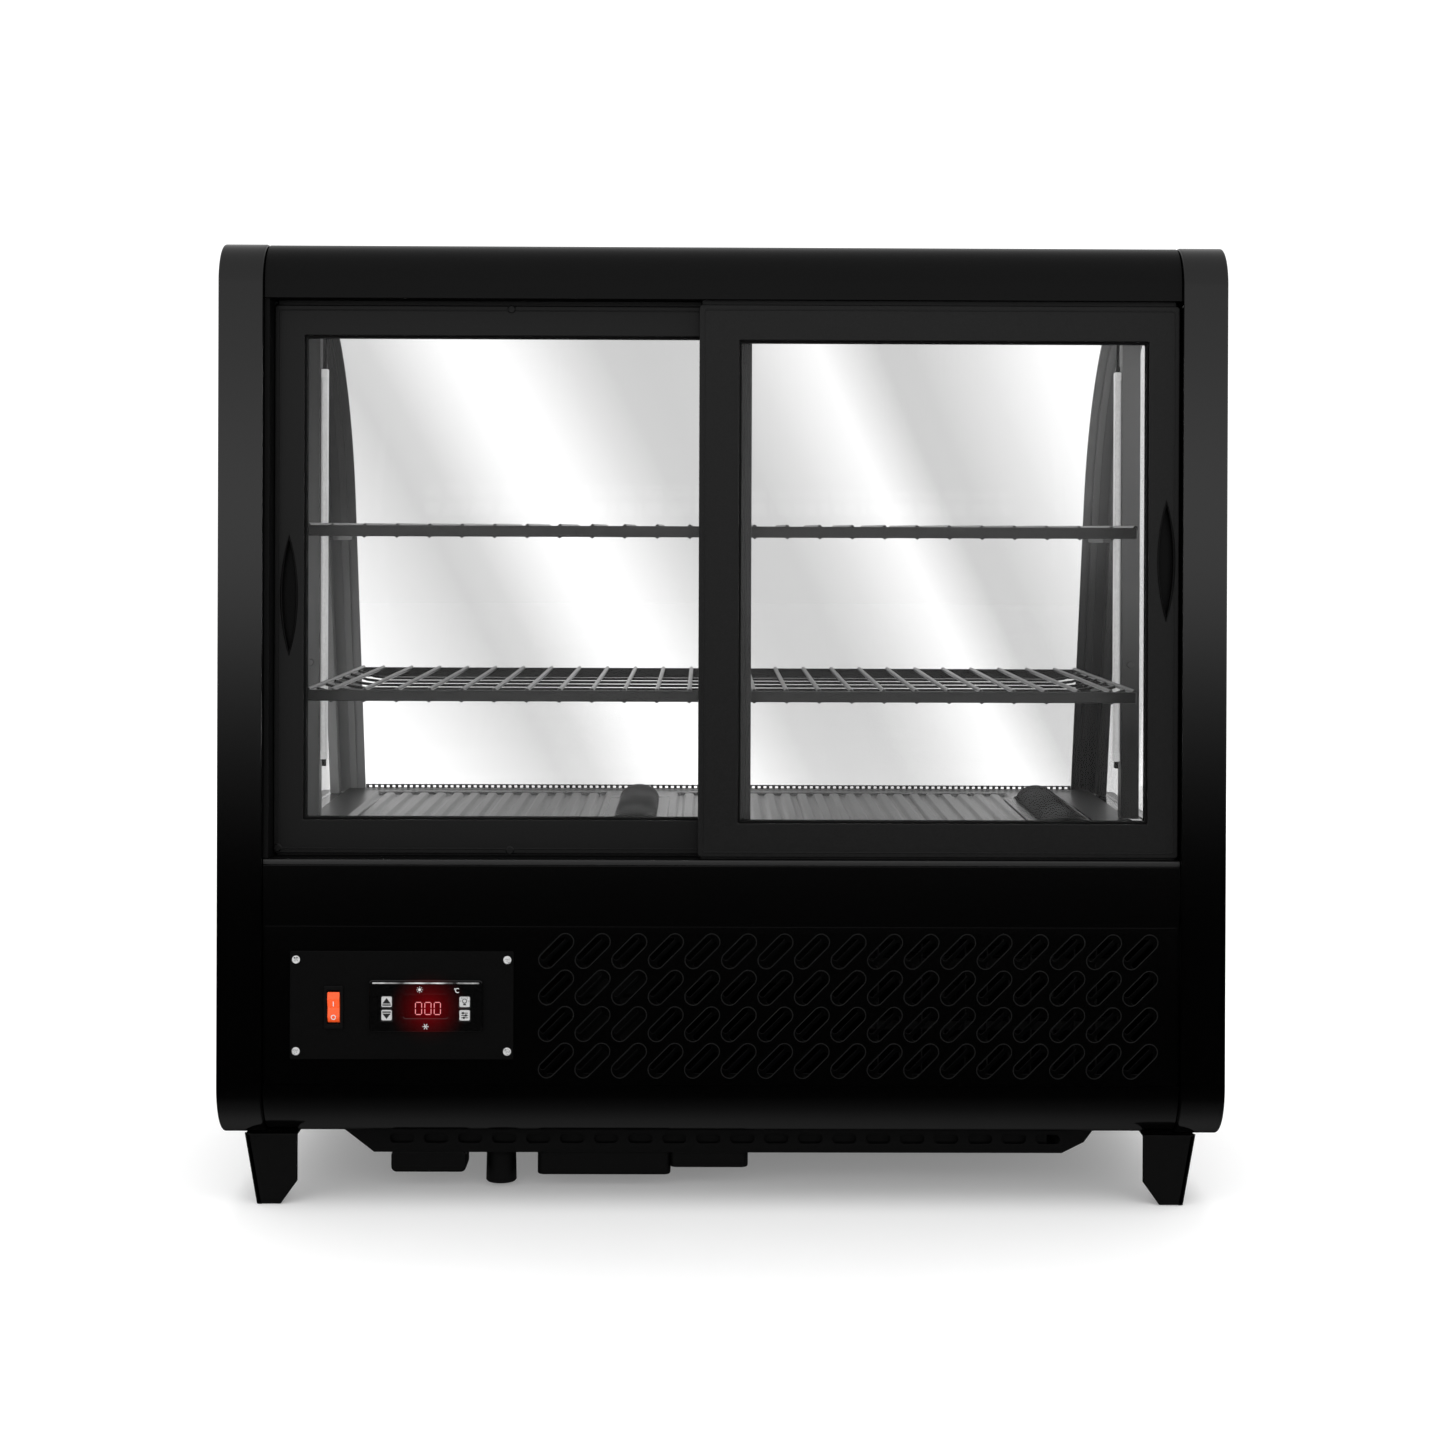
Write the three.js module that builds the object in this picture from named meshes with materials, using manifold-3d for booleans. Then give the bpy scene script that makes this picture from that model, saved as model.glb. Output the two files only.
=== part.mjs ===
// Refrigerated countertop bakery display case, service side towards -Y, customer side towards +Y.
// Millimetres, +Z up, origin at the centre of the footprint on the surface the legs stand on.
import * as THREE from 'three';
import { mergeVertices } from 'three/addons/utils/BufferGeometryUtils.js';
import Module from 'manifold-3d';

const wasm = await Module();
wasm.setup();

// ---- driving dimensions ------------------------------------------------------------------------
const WIDTH = 700;
const DEPTH = 450;
const HEIGHT = 675;
const LEG_HEIGHT = 50;
const GAP = 0.3; // clearance kept between touching pieces
const SHEET = 1.2; // folded sheet thickness

const LEG_X = 316.9;
const LEG_INSET = 48; // service face to the middle of a leg
const PAN_BOTTOM = 27.5;
const CHEEK_WIDTH = 31;
const TOP_CORNER_RADIUS = 28;
const BOTTOM_CORNER_RADIUS = 40;
const POST_DEPTH = 62; // depth of the upright part of a side frame
const TOP_DEPTH = 165; // how far the top reaches from the service face
const TOP_UNDERSIDE = 636;
const SILL = 246; // top of the base on the service side
const REST_Z = 248; // top of the base under the glazing
const RECESS = 5; // panels sit this far behind the side frames' faces

const GLASS_FOOT = 430; // outer face of the front pane at its foot, from the service face
const GLASS_FOOT_Z = REST_Z + GAP;
const GLASS_LEAN = THREE.MathUtils.degToRad(15);
const GLASS_BEND_Z = 500; // where the straight pane starts to curve
const GLASS_THICKNESS = 5;
const SIDE_GLASS_OUTER = 339;
const PILLAR_INNER = 305;
const PILLAR_OUTER = SIDE_GLASS_OUTER - GLASS_THICKNESS - GAP;

const DOOR_WIDTH = 335;
const DOOR_BOTTOM = 247.5;
const DOOR_TOP = 632.7;
const DOOR_THICKNESS = 12;
const NEAR_DOOR_Y = 9; // service face to the right door's face
const FAR_DOOR_Y = 25; // service face to the left door's face
const TONGUE = 3.6; // thickness of the tongues that run in the tracks
const GROOVE = 5;
const PULL_WIDTH = 11;
const PULL_HEIGHT = 82;
const PULL_DEPTH = 6;
const TRACK_DEPTH = 35;

const PANEL_TOP = 199.7;
const PANEL_BOTTOM = 89.7;
const SLOT_COLUMNS = 17;
const SLOT_ROWS = 4;
const SLOT_PITCH = 25.4;
const SLOT_FIRST_X = -115;
const SLOT_FIRST_Z = 106.7;
const SLOT_WIDTH = 10;
const SLOT_LENGTH = 28;
const PLATE = { x: -221.9, z: 145.1, width: 155, height: 75, thickness: 1.4 };

const DECK_Z = 252;
const POST_INNER = 311.5;
const POST_OUTER = 325.5;
const POST_TOP = 642.5; // just under the arch of the front pillars
const POST_Y = [206, 220]; // service face to the shelf posts' near and far faces
const SHELF_HALF_WIDTH = 303.8;
const SHELF_START = 90; // service face to the near edge of both shelves
const SHELVES = { upper: { top: 480, end: 350 }, lower: { top: 360, end: 384 } };
const WIRE = 3.2;
const SHELF_WIRES = 25;

// ---- colours -----------------------------------------------------------------------------------
const finish = (color, roughness, metalness, opacity = 1) =>
  new THREE.MeshStandardMaterial({ color, roughness, metalness, opacity, transparent: opacity < 1 });
const PAINT = finish(0x141414, 0.35, 0.2);
const PLASTIC = finish(0x1c1c1c, 0.6, 0);
const GLOSS = finish(0x0a0a0a, 0.15, 0);
const STEEL = finish(0x8a8a8a, 0.45, 0.8);
const SCREW_STEEL = finish(0xc8c8c8, 0.3, 0.9);
const ALUMINIUM = finish(0xb4b8ba, 0.4, 0.9);
const CASTING = finish(0x101010, 0.5, 0.4);
const WIRE_COAT = finish(0x202020, 0.45, 0.1);
const GLASS = finish(0xe6eeee, 0.05, 0, 0.3);
const ROCKER_ORANGE = finish(0xf26a1b, 0.3, 0);
const KEY_GREY = finish(0xe0e0e0, 0.5, 0);
const LIGHT_WHITE = finish(0xc8c8c8, 0.5, 0);
const SCREEN = finish(0x3a0605, 0.1, 0);
const RUBBER = finish(0x0c0c0c, 0.8, 0);

const display_case = new THREE.Group();
display_case.name = 'bakery_display_case';

// ---- shape helpers -----------------------------------------------------------------------------
const fromFace = (depth) => depth - DEPTH / 2; // distance from the service face to a Y value

function solid(geometry) {
  geometry.deleteAttribute('normal');
  geometry.deleteAttribute('uv');
  const merged = mergeVertices(geometry, 1e-4);
  const vertProperties = new Float32Array(merged.attributes.position.array);
  const triVerts = new Uint32Array(merged.index.array);
  return new wasm.Manifold(new wasm.Mesh({ numProp: 3, vertProperties, triVerts }));
}

function geometryOf(manifold) {
  const mesh = manifold.getMesh();
  const geometry = new THREE.BufferGeometry();
  geometry.setAttribute('position', new THREE.BufferAttribute(new Float32Array(mesh.vertProperties), 3));
  geometry.setIndex(new THREE.BufferAttribute(new Uint32Array(mesh.triVerts), 1));
  return geometry;
}

// x and z are ranges [low, high]; y is a range of distances from the service face
function block(x, y, z) {
  const geometry = new THREE.BoxGeometry(x[1] - x[0], y[1] - y[0], z[1] - z[0]);
  geometry.translate((x[0] + x[1]) / 2, fromFace((y[0] + y[1]) / 2), (z[0] + z[1]) / 2);
  return solid(geometry);
}

// a block given by its middle and half sizes across the width and up
function around(x, z, halfX, halfZ, y) {
  return block([x - halfX, x + halfX], y, [z - halfZ, z + halfZ]);
}

// an outline of [distance from the service face, z] points, pushed from x[0] to x[1]
function acrossWidth(points, x) {
  const shape = new THREE.Shape(points.map(([depth, z]) => new THREE.Vector2(fromFace(depth), z)));
  const geometry = new THREE.ExtrudeGeometry(shape, { depth: x[1] - x[0], bevelEnabled: false });
  const basis = new THREE.Matrix4().makeBasis(
    new THREE.Vector3(0, 1, 0), new THREE.Vector3(0, 0, 1), new THREE.Vector3(1, 0, 0));
  geometry.applyMatrix4(basis);
  geometry.translate(x[0], 0, 0);
  return solid(geometry);
}

// an outline of Vector2(x, z) points, pushed from one distance to another behind the service face
function intoDepth(points, y) {
  const shape = new THREE.Shape(points);
  const geometry = new THREE.ExtrudeGeometry(shape, { depth: y[1] - y[0], bevelEnabled: false });
  const basis = new THREE.Matrix4().makeBasis(
    new THREE.Vector3(1, 0, 0), new THREE.Vector3(0, 0, 1), new THREE.Vector3(0, -1, 0));
  geometry.applyMatrix4(basis);
  geometry.translate(0, fromFace(y[1]), 0);
  return solid(geometry);
}

function cylinder(radius, length, segments, axis, x, depth, z) {
  const geometry = new THREE.CylinderGeometry(radius, radius, length, segments);
  if (axis === 'x') geometry.rotateZ(Math.PI / 2);
  if (axis === 'z') geometry.rotateX(Math.PI / 2);
  geometry.translate(x, fromFace(depth), z);
  return solid(geometry);
}

function arc(centre, radius, from, to, steps) {
  return Array.from({ length: steps + 1 }, (_, i) => {
    const angle = from + ((to - from) * i) / steps;
    return [centre[0] + radius * Math.cos(angle), centre[1] + radius * Math.sin(angle)];
  });
}

function obround(width, length, slant, steps = 4) {
  const reach = (length - width) / 2;
  const ends = [
    ...arc([0, reach], width / 2, 0, Math.PI, steps),
    ...arc([0, -reach], width / 2, Math.PI, 2 * Math.PI, steps),
  ];
  return ends.map(([x, z]) => new THREE.Vector2(x, z).rotateAround(new THREE.Vector2(), slant));
}

const union = (pieces) => pieces.reduce((sum, piece) => sum.add(piece));
const mirrored = (range) => [-range[1], -range[0]];
const sideRange = (side, range) => (side === 'left' ? mirrored(range) : range);

function addPart(name, manifold, material, position) {
  const mesh = new THREE.Mesh(geometryOf(manifold), material.clone());
  mesh.name = name;
  if (position) mesh.position.set(position[0], fromFace(position[1]), position[2]);
  display_case.add(mesh);
}

// the front pane's side view at a distance inwards from its outer face: a leaning line, then an arc
const bendRadius = (HEIGHT - 3 - GLASS_BEND_Z) / (1 - Math.sin(GLASS_LEAN));
const bendStart = GLASS_FOOT - Math.tan(GLASS_LEAN) * (GLASS_BEND_Z - GLASS_FOOT_Z);
const bendCentre = [
  bendStart - bendRadius * Math.cos(GLASS_LEAN),
  GLASS_BEND_Z - bendRadius * Math.sin(GLASS_LEAN),
];

function frontCurve(inset, footZ, endDepth, steps = 14) {
  const radius = bendRadius - inset;
  const footDepth = GLASS_FOOT - inset / Math.cos(GLASS_LEAN) - Math.tan(GLASS_LEAN) * (footZ - GLASS_FOOT_Z);
  const lastAngle = Math.acos((endDepth - bendCentre[0]) / radius);
  return [[footDepth, footZ], ...arc(bendCentre, radius, GLASS_LEAN, lastAngle, steps)];
}

// ---- cabinet shell -----------------------------------------------------------------------------
function sideFrame(side) {
  const inner = WIDTH / 2 - CHEEK_WIDTH;
  const bottomZ = LEG_HEIGHT + BOTTOM_CORNER_RADIUS;
  const topZ = HEIGHT - TOP_CORNER_RADIUS;
  const frontCentre = DEPTH - BOTTOM_CORNER_RADIUS;
  const outline = [
    ...arc([BOTTOM_CORNER_RADIUS, bottomZ], BOTTOM_CORNER_RADIUS, 1.5 * Math.PI, Math.PI, 8),
    ...arc([TOP_CORNER_RADIUS, topZ], TOP_CORNER_RADIUS, Math.PI, Math.PI / 2, 8),
    [TOP_DEPTH, HEIGHT],
    [TOP_DEPTH, TOP_UNDERSIDE],
    ...arc([POST_DEPTH + 10, TOP_UNDERSIDE - 10], 10, Math.PI / 2, Math.PI, 3),
    [POST_DEPTH, REST_Z],
    [DEPTH - 8, REST_Z],
    [DEPTH, SILL - 6],
    ...arc([frontCentre, bottomZ], BOTTOM_CORNER_RADIUS, 0, -Math.PI / 2, 8),
  ].reverse();
  return acrossWidth(outline, sideRange(side, [inner, WIDTH / 2]));
}

const MACHINE_FLOOR = LEG_HEIGHT + SHEET;
const MACHINE_RAILS = [82, 172];
const panelHalf = WIDTH / 2 - CHEEK_WIDTH - GAP;
const panelSpan = [-panelHalf, panelHalf];

function topPanel() {
  const centre = [RECESS + TOP_CORNER_RADIUS, HEIGHT - TOP_CORNER_RADIUS];
  const outline = [
    [RECESS, TOP_UNDERSIDE],
    ...arc(centre, TOP_CORNER_RADIUS, Math.PI, Math.PI / 2, 8),
    [TOP_DEPTH, HEIGHT],
    [TOP_DEPTH, TOP_UNDERSIDE],
    [TOP_DEPTH - SHEET, TOP_UNDERSIDE],
    [TOP_DEPTH - SHEET, HEIGHT - SHEET],
    ...arc(centre, TOP_CORNER_RADIUS - SHEET, Math.PI / 2, Math.PI, 8),
    [RECESS + SHEET, TOP_UNDERSIDE],
  ].reverse();
  return acrossWidth(outline, panelSpan);
}

function ceilingPanel() {
  const start = RECESS + SHEET + TRACK_DEPTH + 2 * GAP;
  return block(panelSpan, [start, TOP_DEPTH - SHEET - GAP], [TOP_UNDERSIDE, TOP_UNDERSIDE + SHEET]);
}

function rearLowerPanel() {
  const bottomZ = LEG_HEIGHT + BOTTOM_CORNER_RADIUS;
  const centre = [RECESS + BOTTOM_CORNER_RADIUS, bottomZ];
  const outline = [
    [RECESS, SILL],
    [RECESS, PANEL_TOP + GAP],
    [RECESS + SHEET, PANEL_TOP + GAP],
    [RECESS + SHEET, PANEL_BOTTOM - GAP],
    ...arc(centre, BOTTOM_CORNER_RADIUS, Math.PI, 1.5 * Math.PI, 8).slice(1),
    [centre[0] + 20, LEG_HEIGHT],
    [centre[0] + 20, LEG_HEIGHT + SHEET],
    ...arc(centre, BOTTOM_CORNER_RADIUS - SHEET, 1.5 * Math.PI, Math.PI, 8).slice(0, -1),
    [RECESS + 2 * SHEET, bottomZ + 2],
    [RECESS + 2 * SHEET, SILL - 12],
    [RECESS + SHEET, SILL - 12],
    [RECESS + SHEET, SILL],
  ];
  const window = block([-panelHalf + 18, panelHalf - 18], [0, 20], [PANEL_BOTTOM + 8, PANEL_TOP - 8]);
  return acrossWidth(outline, panelSpan).subtract(window);
}

function accessPanel() {
  const y = [RECESS + 0.2, RECESS + SHEET - GAP];
  const slots = [];
  for (let column = 0; column < SLOT_COLUMNS; column += 1) {
    for (let row = 0; row < SLOT_ROWS; row += 1) {
      const slot = intoDepth(obround(SLOT_WIDTH, SLOT_LENGTH, -Math.PI / 4, 4), [0, 20]);
      slots.push(slot.translate([SLOT_FIRST_X + column * SLOT_PITCH, 0, SLOT_FIRST_Z + row * SLOT_PITCH]));
    }
  }
  const switchHole = around(SWITCH_X, SWITCH_Z, 6, 13.5, [0, 20]);
  const controllerHole = around(CONTROLLER_X, PLATE.z, 33.5, 15, [0, 20]);
  return block([-panelHalf + 1.5, panelHalf - 1.5], y, [PANEL_BOTTOM, PANEL_TOP])
    .subtract(union([...slots, switchHole, controllerHole]));
}

function frontBasePanel() {
  const bottomZ = LEG_HEIGHT + BOTTOM_CORNER_RADIUS;
  const face = DEPTH - RECESS;
  const centre = [face - BOTTOM_CORNER_RADIUS, bottomZ];
  const outline = [
    [face, REST_Z],
    [face - 32, REST_Z],
    [face - 32, REST_Z - SHEET],
    [face - SHEET, REST_Z - SHEET],
    ...arc(centre, BOTTOM_CORNER_RADIUS - SHEET, 0, -Math.PI / 2, 8),
    [centre[0] - 20, LEG_HEIGHT + SHEET],
    [centre[0] - 20, LEG_HEIGHT],
    ...arc(centre, BOTTOM_CORNER_RADIUS, -Math.PI / 2, 0, 8),
  ];
  return acrossWidth(outline, panelSpan);
}

// a shallow pressed pan that hangs below the base, with a bump near its left end and rails for the machinery
function basePan() {
  const near = RECESS + BOTTOM_CORNER_RADIUS + 20 + GAP;
  const far = DEPTH - near;
  const trough = (inset, top, bottom) => intoDepth([
    new THREE.Vector2(-279 + inset, top),
    new THREE.Vector2(-249 + inset, bottom),
    new THREE.Vector2(246 - inset, bottom),
    new THREE.Vector2(262 - inset, bottom + 8),
    new THREE.Vector2(273 - inset, top),
  ], [near + inset, far - inset]);
  const plate = block([-panelHalf, panelHalf], [near, far], [LEG_HEIGHT, LEG_HEIGHT + SHEET]);
  const bump = block([-237, -183], [near + 1, near + 26], [12.7, PAN_BOTTOM + 1]);
  const rails = MACHINE_RAILS.map((y) => (
    block([-panelHalf, panelHalf], [y, y + 22], [LEG_HEIGHT, MACHINE_FLOOR])));
  const pan = union([plate, trough(0, LEG_HEIGHT + 1, PAN_BOTTOM), bump])
    .subtract(trough(SHEET, LEG_HEIGHT + 5, PAN_BOTTOM + SHEET));
  return union([pan, ...rails]);
}

// a corner leg: its outer side slants inwards, its service side is upright, and its two inner sides are
// upright and then cut away towards the foot
function leg() {
  const top = LEG_HEIGHT - GAP;
  const frontOutline = [[-18.5, top], [-18.5, 16], [-7, 0], [9.8, 0], [18.5, top]];
  const endOutline = [[-18.5, top], [-18.5, 0], [-2, 0], [18.5, 16], [18.5, top]];
  const frontView = frontOutline.map(([across, z]) => new THREE.Vector2(across, z));
  const endView = endOutline.map(([depth, z]) => [DEPTH / 2 + depth, z]);
  const reach = [DEPTH / 2 - 19, DEPTH / 2 + 19];
  return intoDepth(frontView, reach).intersect(acrossWidth(endView, [-19, 19]));
}

// ---- glazing -----------------------------------------------------------------------------------
function frontGlass() {
  const end = TOP_DEPTH + GAP;
  const outline = [
    ...frontCurve(0, GLASS_FOOT_Z, end),
    ...frontCurve(GLASS_THICKNESS, GLASS_FOOT_Z, end).reverse(),
  ];
  return acrossWidth(outline, [-SIDE_GLASS_OUTER, SIDE_GLASS_OUTER]);
}

function sideGlass(side) {
  const outline = [
    [POST_DEPTH + GAP, GLASS_FOOT_Z],
    ...frontCurve(GLASS_THICKNESS + GAP, GLASS_FOOT_Z, TOP_DEPTH + GAP),
    [TOP_DEPTH + GAP, TOP_UNDERSIDE - GAP],
    [POST_DEPTH + 11, TOP_UNDERSIDE - GAP],
    [POST_DEPTH + GAP, TOP_UNDERSIDE - 11],
  ];
  const x = [SIDE_GLASS_OUTER - GLASS_THICKNESS, SIDE_GLASS_OUTER];
  return acrossWidth(outline, sideRange(side, x));
}

function frontPillar(side) {
  const end = TOP_DEPTH + GAP;
  const band = (thickness) => [
    ...frontCurve(GLASS_THICKNESS + GAP, GLASS_FOOT_Z, end),
    ...frontCurve(GLASS_THICKNESS + GAP + thickness, GLASS_FOOT_Z, end).reverse(),
  ];
  const face = acrossWidth(band(3), sideRange(side, [PILLAR_INNER, PILLAR_OUTER]));
  const web = acrossWidth(band(16), sideRange(side, [PILLAR_OUTER - 8, PILLAR_OUTER]));
  return face.add(web);
}

// ---- doors -------------------------------------------------------------------------------------
function track(z, grooveZ) {
  const start = RECESS + SHEET + GAP;
  const grooves = [NEAR_DOOR_Y, FAR_DOOR_Y].map((doorY) => {
    const middle = doorY + DOOR_THICKNESS / 2;
    return block([-WIDTH, WIDTH], [middle - GROOVE / 2, middle + GROOVE / 2], grooveZ);
  });
  return block(panelSpan, [start, start + TRACK_DEPTH - GAP], z).subtract(union(grooves));
}

function doorFrame(door) {
  const y = [door.face, door.face + DOOR_THICKNESS];
  const middle = door.face + DOOR_THICKNESS / 2;
  const tongueY = [middle - TONGUE / 2, middle + TONGUE / 2];
  const tongueX = [door.left + 2, door.left + DOOR_WIDTH - 2];
  const frame = union([
    block([door.left, door.left + DOOR_WIDTH], y, [DOOR_BOTTOM, DOOR_TOP]),
    block(tongueX, tongueY, [DOOR_BOTTOM - 6.5, DOOR_BOTTOM + 1]),
    block(tongueX, tongueY, [DOOR_TOP - 1, DOOR_TOP + 8.5]),
  ]);
  const window = block(
    [door.left + door.leftStile, door.left + DOOR_WIDTH - door.rightStile],
    [0, 60],
    [DOOR_BOTTOM + door.bottomRail, DOOR_TOP - door.topRail]);
  return frame.subtract(window).subtract(fingerPull(door));
}

// a lens-shaped hollow in the stile, for the fingertips
function fingerPull(door) {
  const half = PULL_HEIGHT / 2;
  const radius = (half * half + (PULL_WIDTH / 2) ** 2) / PULL_WIDTH;
  const swing = Math.asin(half / radius);
  const offset = radius - PULL_WIDTH / 2;
  const points = [
    ...arc([-offset, 0], radius, -swing, swing, 6),
    ...arc([offset, 0], radius, Math.PI - swing, Math.PI + swing, 6).slice(1, -1),
  ];
  const outline = points.map(([x, z]) => new THREE.Vector2(door.pullX + x, door.pullZ + z));
  return intoDepth(outline, [door.face - 5, door.face + PULL_DEPTH]);
}

function doorGlass(door) {
  const middle = door.face + DOOR_THICKNESS / 2;
  return block(
    [door.left + door.leftStile + GAP, door.left + DOOR_WIDTH - door.rightStile - GAP],
    [middle - 2, middle + 2],
    [DOOR_BOTTOM + door.bottomRail + GAP, DOOR_TOP - door.topRail - GAP]);
}

const DOORS = {
  left: {
    left: -315, face: FAR_DOOR_Y, leftStile: 21, rightStile: 24, topRail: 21.5, bottomRail: 24,
    pullX: -304.5, pullZ: 428.5,
  },
  right: {
    left: -17, face: NEAR_DOOR_Y, leftStile: 28, rightStile: 21.5, topRail: 25, bottomRail: 24,
    pullX: 309, pullZ: 455,
  },
};

// ---- controls ----------------------------------------------------------------------------------
const SWITCH_X = -269;
const SWITCH_Z = PLATE.z - 1.4;
const CONTROLLER_X = -205;
const plateFace = RECESS - PLATE.thickness;
const BEZEL = 1.5; // how far the switch bezel stands off the control plate
const ROCKER_TILT = THREE.MathUtils.degToRad(6);

function controlPlate() {
  const x = [PLATE.x - PLATE.width / 2, PLATE.x + PLATE.width / 2];
  const z = [PLATE.z - PLATE.height / 2, PLATE.z + PLATE.height / 2];
  const switchHole = around(SWITCH_X, SWITCH_Z, 5.4, 12.5, [0, 20]);
  const controllerHole = around(CONTROLLER_X, PLATE.z, 33.4, 14.6, [0, 20]);
  return block(x, [plateFace, RECESS], z).subtract(switchHole).subtract(controllerHole);
}

function plateScrew() {
  const profile = [[0, 0], [2.2, 0], [2.8, 0.5], [2.8, 1.2], [0, 1.2]];
  const points = profile.map(([radius, height]) => new THREE.Vector2(radius, height));
  return solid(new THREE.LatheGeometry(points, 12));
}

function switchBezel() {
  const outer = around(SWITCH_X, SWITCH_Z, 6.7, 15, [plateFace - BEZEL, plateFace - GAP]);
  const body = around(SWITCH_X, SWITCH_Z, 5.1, 12.2, [plateFace - 1, 24]);
  const well = around(SWITCH_X, SWITCH_Z, 4.6, 11.8, [0, 11]);
  return outer.add(body).subtract(well);
}

// two facets that meet in a shallow valley; the lower half is pressed in, so the upper one stands proud
function rocker() {
  const pivot = new THREE.Vector2(plateFace - BEZEL + 3, SWITCH_Z);
  const face = [[-1.6, 10.9], [-3.6, 6.4], [-2.3, 0], [-3.6, -6.4], [-1.6, -10.9]];
  const profile = [...face, [0.6, -8], [1.6, 0], [0.6, 8]];
  const outline = profile.map(([depth, z]) => {
    const point = new THREE.Vector2(depth, z).rotateAround(new THREE.Vector2(), ROCKER_TILT).add(pivot);
    return [point.x, point.y];
  });
  return acrossWidth(outline, [SWITCH_X - 4.2, SWITCH_X + 4.2]);
}

const KEYS = {
  up: [-232, 148.1],
  down: [-232, 138.8],
  light: [-178, 148.1],
  set: [-178, 138.8],
};
const KEY_SIZE = 7.6;

function controllerHousing() {
  const bezel = around(CONTROLLER_X, PLATE.z, 39.2, 18, [0.8, plateFace - GAP]);
  const body = around(CONTROLLER_X, PLATE.z, 33, 14.2, [plateFace - 1, 60]);
  const windowHole = around(CONTROLLER_X, PLATE.z, 18, 11, [0, 1.8]);
  const half = KEY_SIZE / 2 + 0.35;
  const wells = Object.values(KEYS).map(([x, z]) => around(x, z, half, half, [0, 3.1]));
  return bezel.add(body).subtract(union([windowHole, ...wells]));
}

function displayWindow() {
  return around(CONTROLLER_X, PLATE.z, 17.7, 10.7, [0.9, 1.5]);
}

function key() {
  return block([-KEY_SIZE / 2, KEY_SIZE / 2], [DEPTH / 2, DEPTH / 2 + 1.6], [-KEY_SIZE / 2, KEY_SIZE / 2]);
}

// ---- inside the display space ------------------------------------------------------------------
function deckPlate() {
  const start = FAR_DOOR_Y + DOOR_THICKNESS + 2;
  const end = GLASS_FOOT - 12;
  const plate = block(panelSpan, [start, end], [DECK_Z - SHEET, DECK_Z]);
  const rearFold = block(panelSpan, [start, start + SHEET], [SILL + GAP, DECK_Z]);
  const frontFold = block(panelSpan, [end - SHEET, end], [REST_Z + GAP, DECK_Z]);
  const vents = Object.values(LOUVRES).map((x) => block([x - 14, x + 14], [140, 330], [SILL, DECK_Z + 1]));
  return union([plate, rearFold, frontFold]).subtract(union(vents));
}

const LOUVRES = { centre: -66, right: 262 };

function louvre(x) {
  const hump = (inset) => {
    const points = arc([0, 0], 1, 0, Math.PI, 8)
      .map(([across, up]) => new THREE.Vector2(across * (23 - inset), up * (12 - inset)));
    return intoDepth(points, [125 + inset, 345 - inset]).translate([x, 0, DECK_Z + GAP]);
  };
  return hump(0).subtract(hump(1.5).translate([0, 0, -0.01]));
}

function shelfPost(side) {
  const x = [POST_INNER, POST_OUTER];
  const outer = block(sideRange(side, x), POST_Y, [DECK_Z + GAP, POST_TOP]);
  const hollow = block(sideRange(side, [x[0] + 2, x[1] - 2]), [POST_Y[0] + 2, POST_Y[1] + 4], [SILL, HEIGHT]);
  return outer.subtract(hollow);
}

function lightStrip(side) {
  const x = sideRange(side, [POST_INNER - 7 - GAP, POST_INNER - GAP]);
  return block(x, [POST_Y[0] + 2, POST_Y[1]], [296.5, 599.5]);
}

function shelfBracket(side, shelfTop) {
  const z = shelfTop - 10 - GAP;
  const foot = sideRange(side, [POST_INNER - 12, POST_OUTER - 1]);
  const flat = sideRange(side, [POST_INNER + 1, POST_OUTER - 1]);
  const web = sideRange(side, [POST_INNER + 5.5, POST_OUTER - 5.5]);
  const start = POST_Y[1] + GAP;
  const arm = block(foot, [start, 300], [z - 3, z]);
  const heel = block(flat, [start, start + 3], [z - 26, z]);
  const gusset = acrossWidth([[start + 44, z - 1], [start + 2, z - 1], [start + 2, z - 25]], web);
  return union([arm, heel, gusset]);
}

function wireShelf({ top, end }) {
  const half = SHELF_HALF_WIDTH;
  const rails = [SHELF_START, SHELF_START + 98, end - 98, end - 3];
  const lengthBars = rails.map((y, i) => {
    const edge = i === 0 || i === rails.length - 1;
    return block([-half, half], [y, y + 3], [top - (edge ? 10 : WIRE + 2), top - WIRE + 0.6]);
  });
  const railZ = [top - 10, top - WIRE + 0.6];
  const endBars = [-half, half - 3].map((x) => block([x, x + 3], [SHELF_START, end], railZ));
  const pitch = (2 * half - WIRE) / (SHELF_WIRES - 1);
  const wires = Array.from({ length: SHELF_WIRES }, (_, i) => {
    const x = -half + pitch * i;
    return block([x, x + WIRE], [SHELF_START, end], [top - WIRE, top]);
  });
  return union([...lengthBars, ...endBars, ...wires]);
}

// ---- cooling unit ------------------------------------------------------------------------------
const TUB = { x: [-300, 300], y: [238, 418], z: [118, 246] };
const TUB_WALL = 8;
const TUB_FLOOR = TUB.z[0] + TUB_WALL + GAP;
const EVAPORATOR_FAN_Z = TUB_FLOOR + 48;
const CONDENSER_FAN_Z = MACHINE_FLOOR + GAP + 65;

function evaporatorTub() {
  const grow = ([low, high], by) => [low + by, high - by];
  const inside = block(grow(TUB.x, TUB_WALL), grow(TUB.y, TUB_WALL), [TUB.z[0] + TUB_WALL, TUB.z[1] + 10]);
  return block(TUB.x, TUB.y, [TUB.z[0], SILL - SHEET - GAP]).subtract(inside);
}

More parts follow.
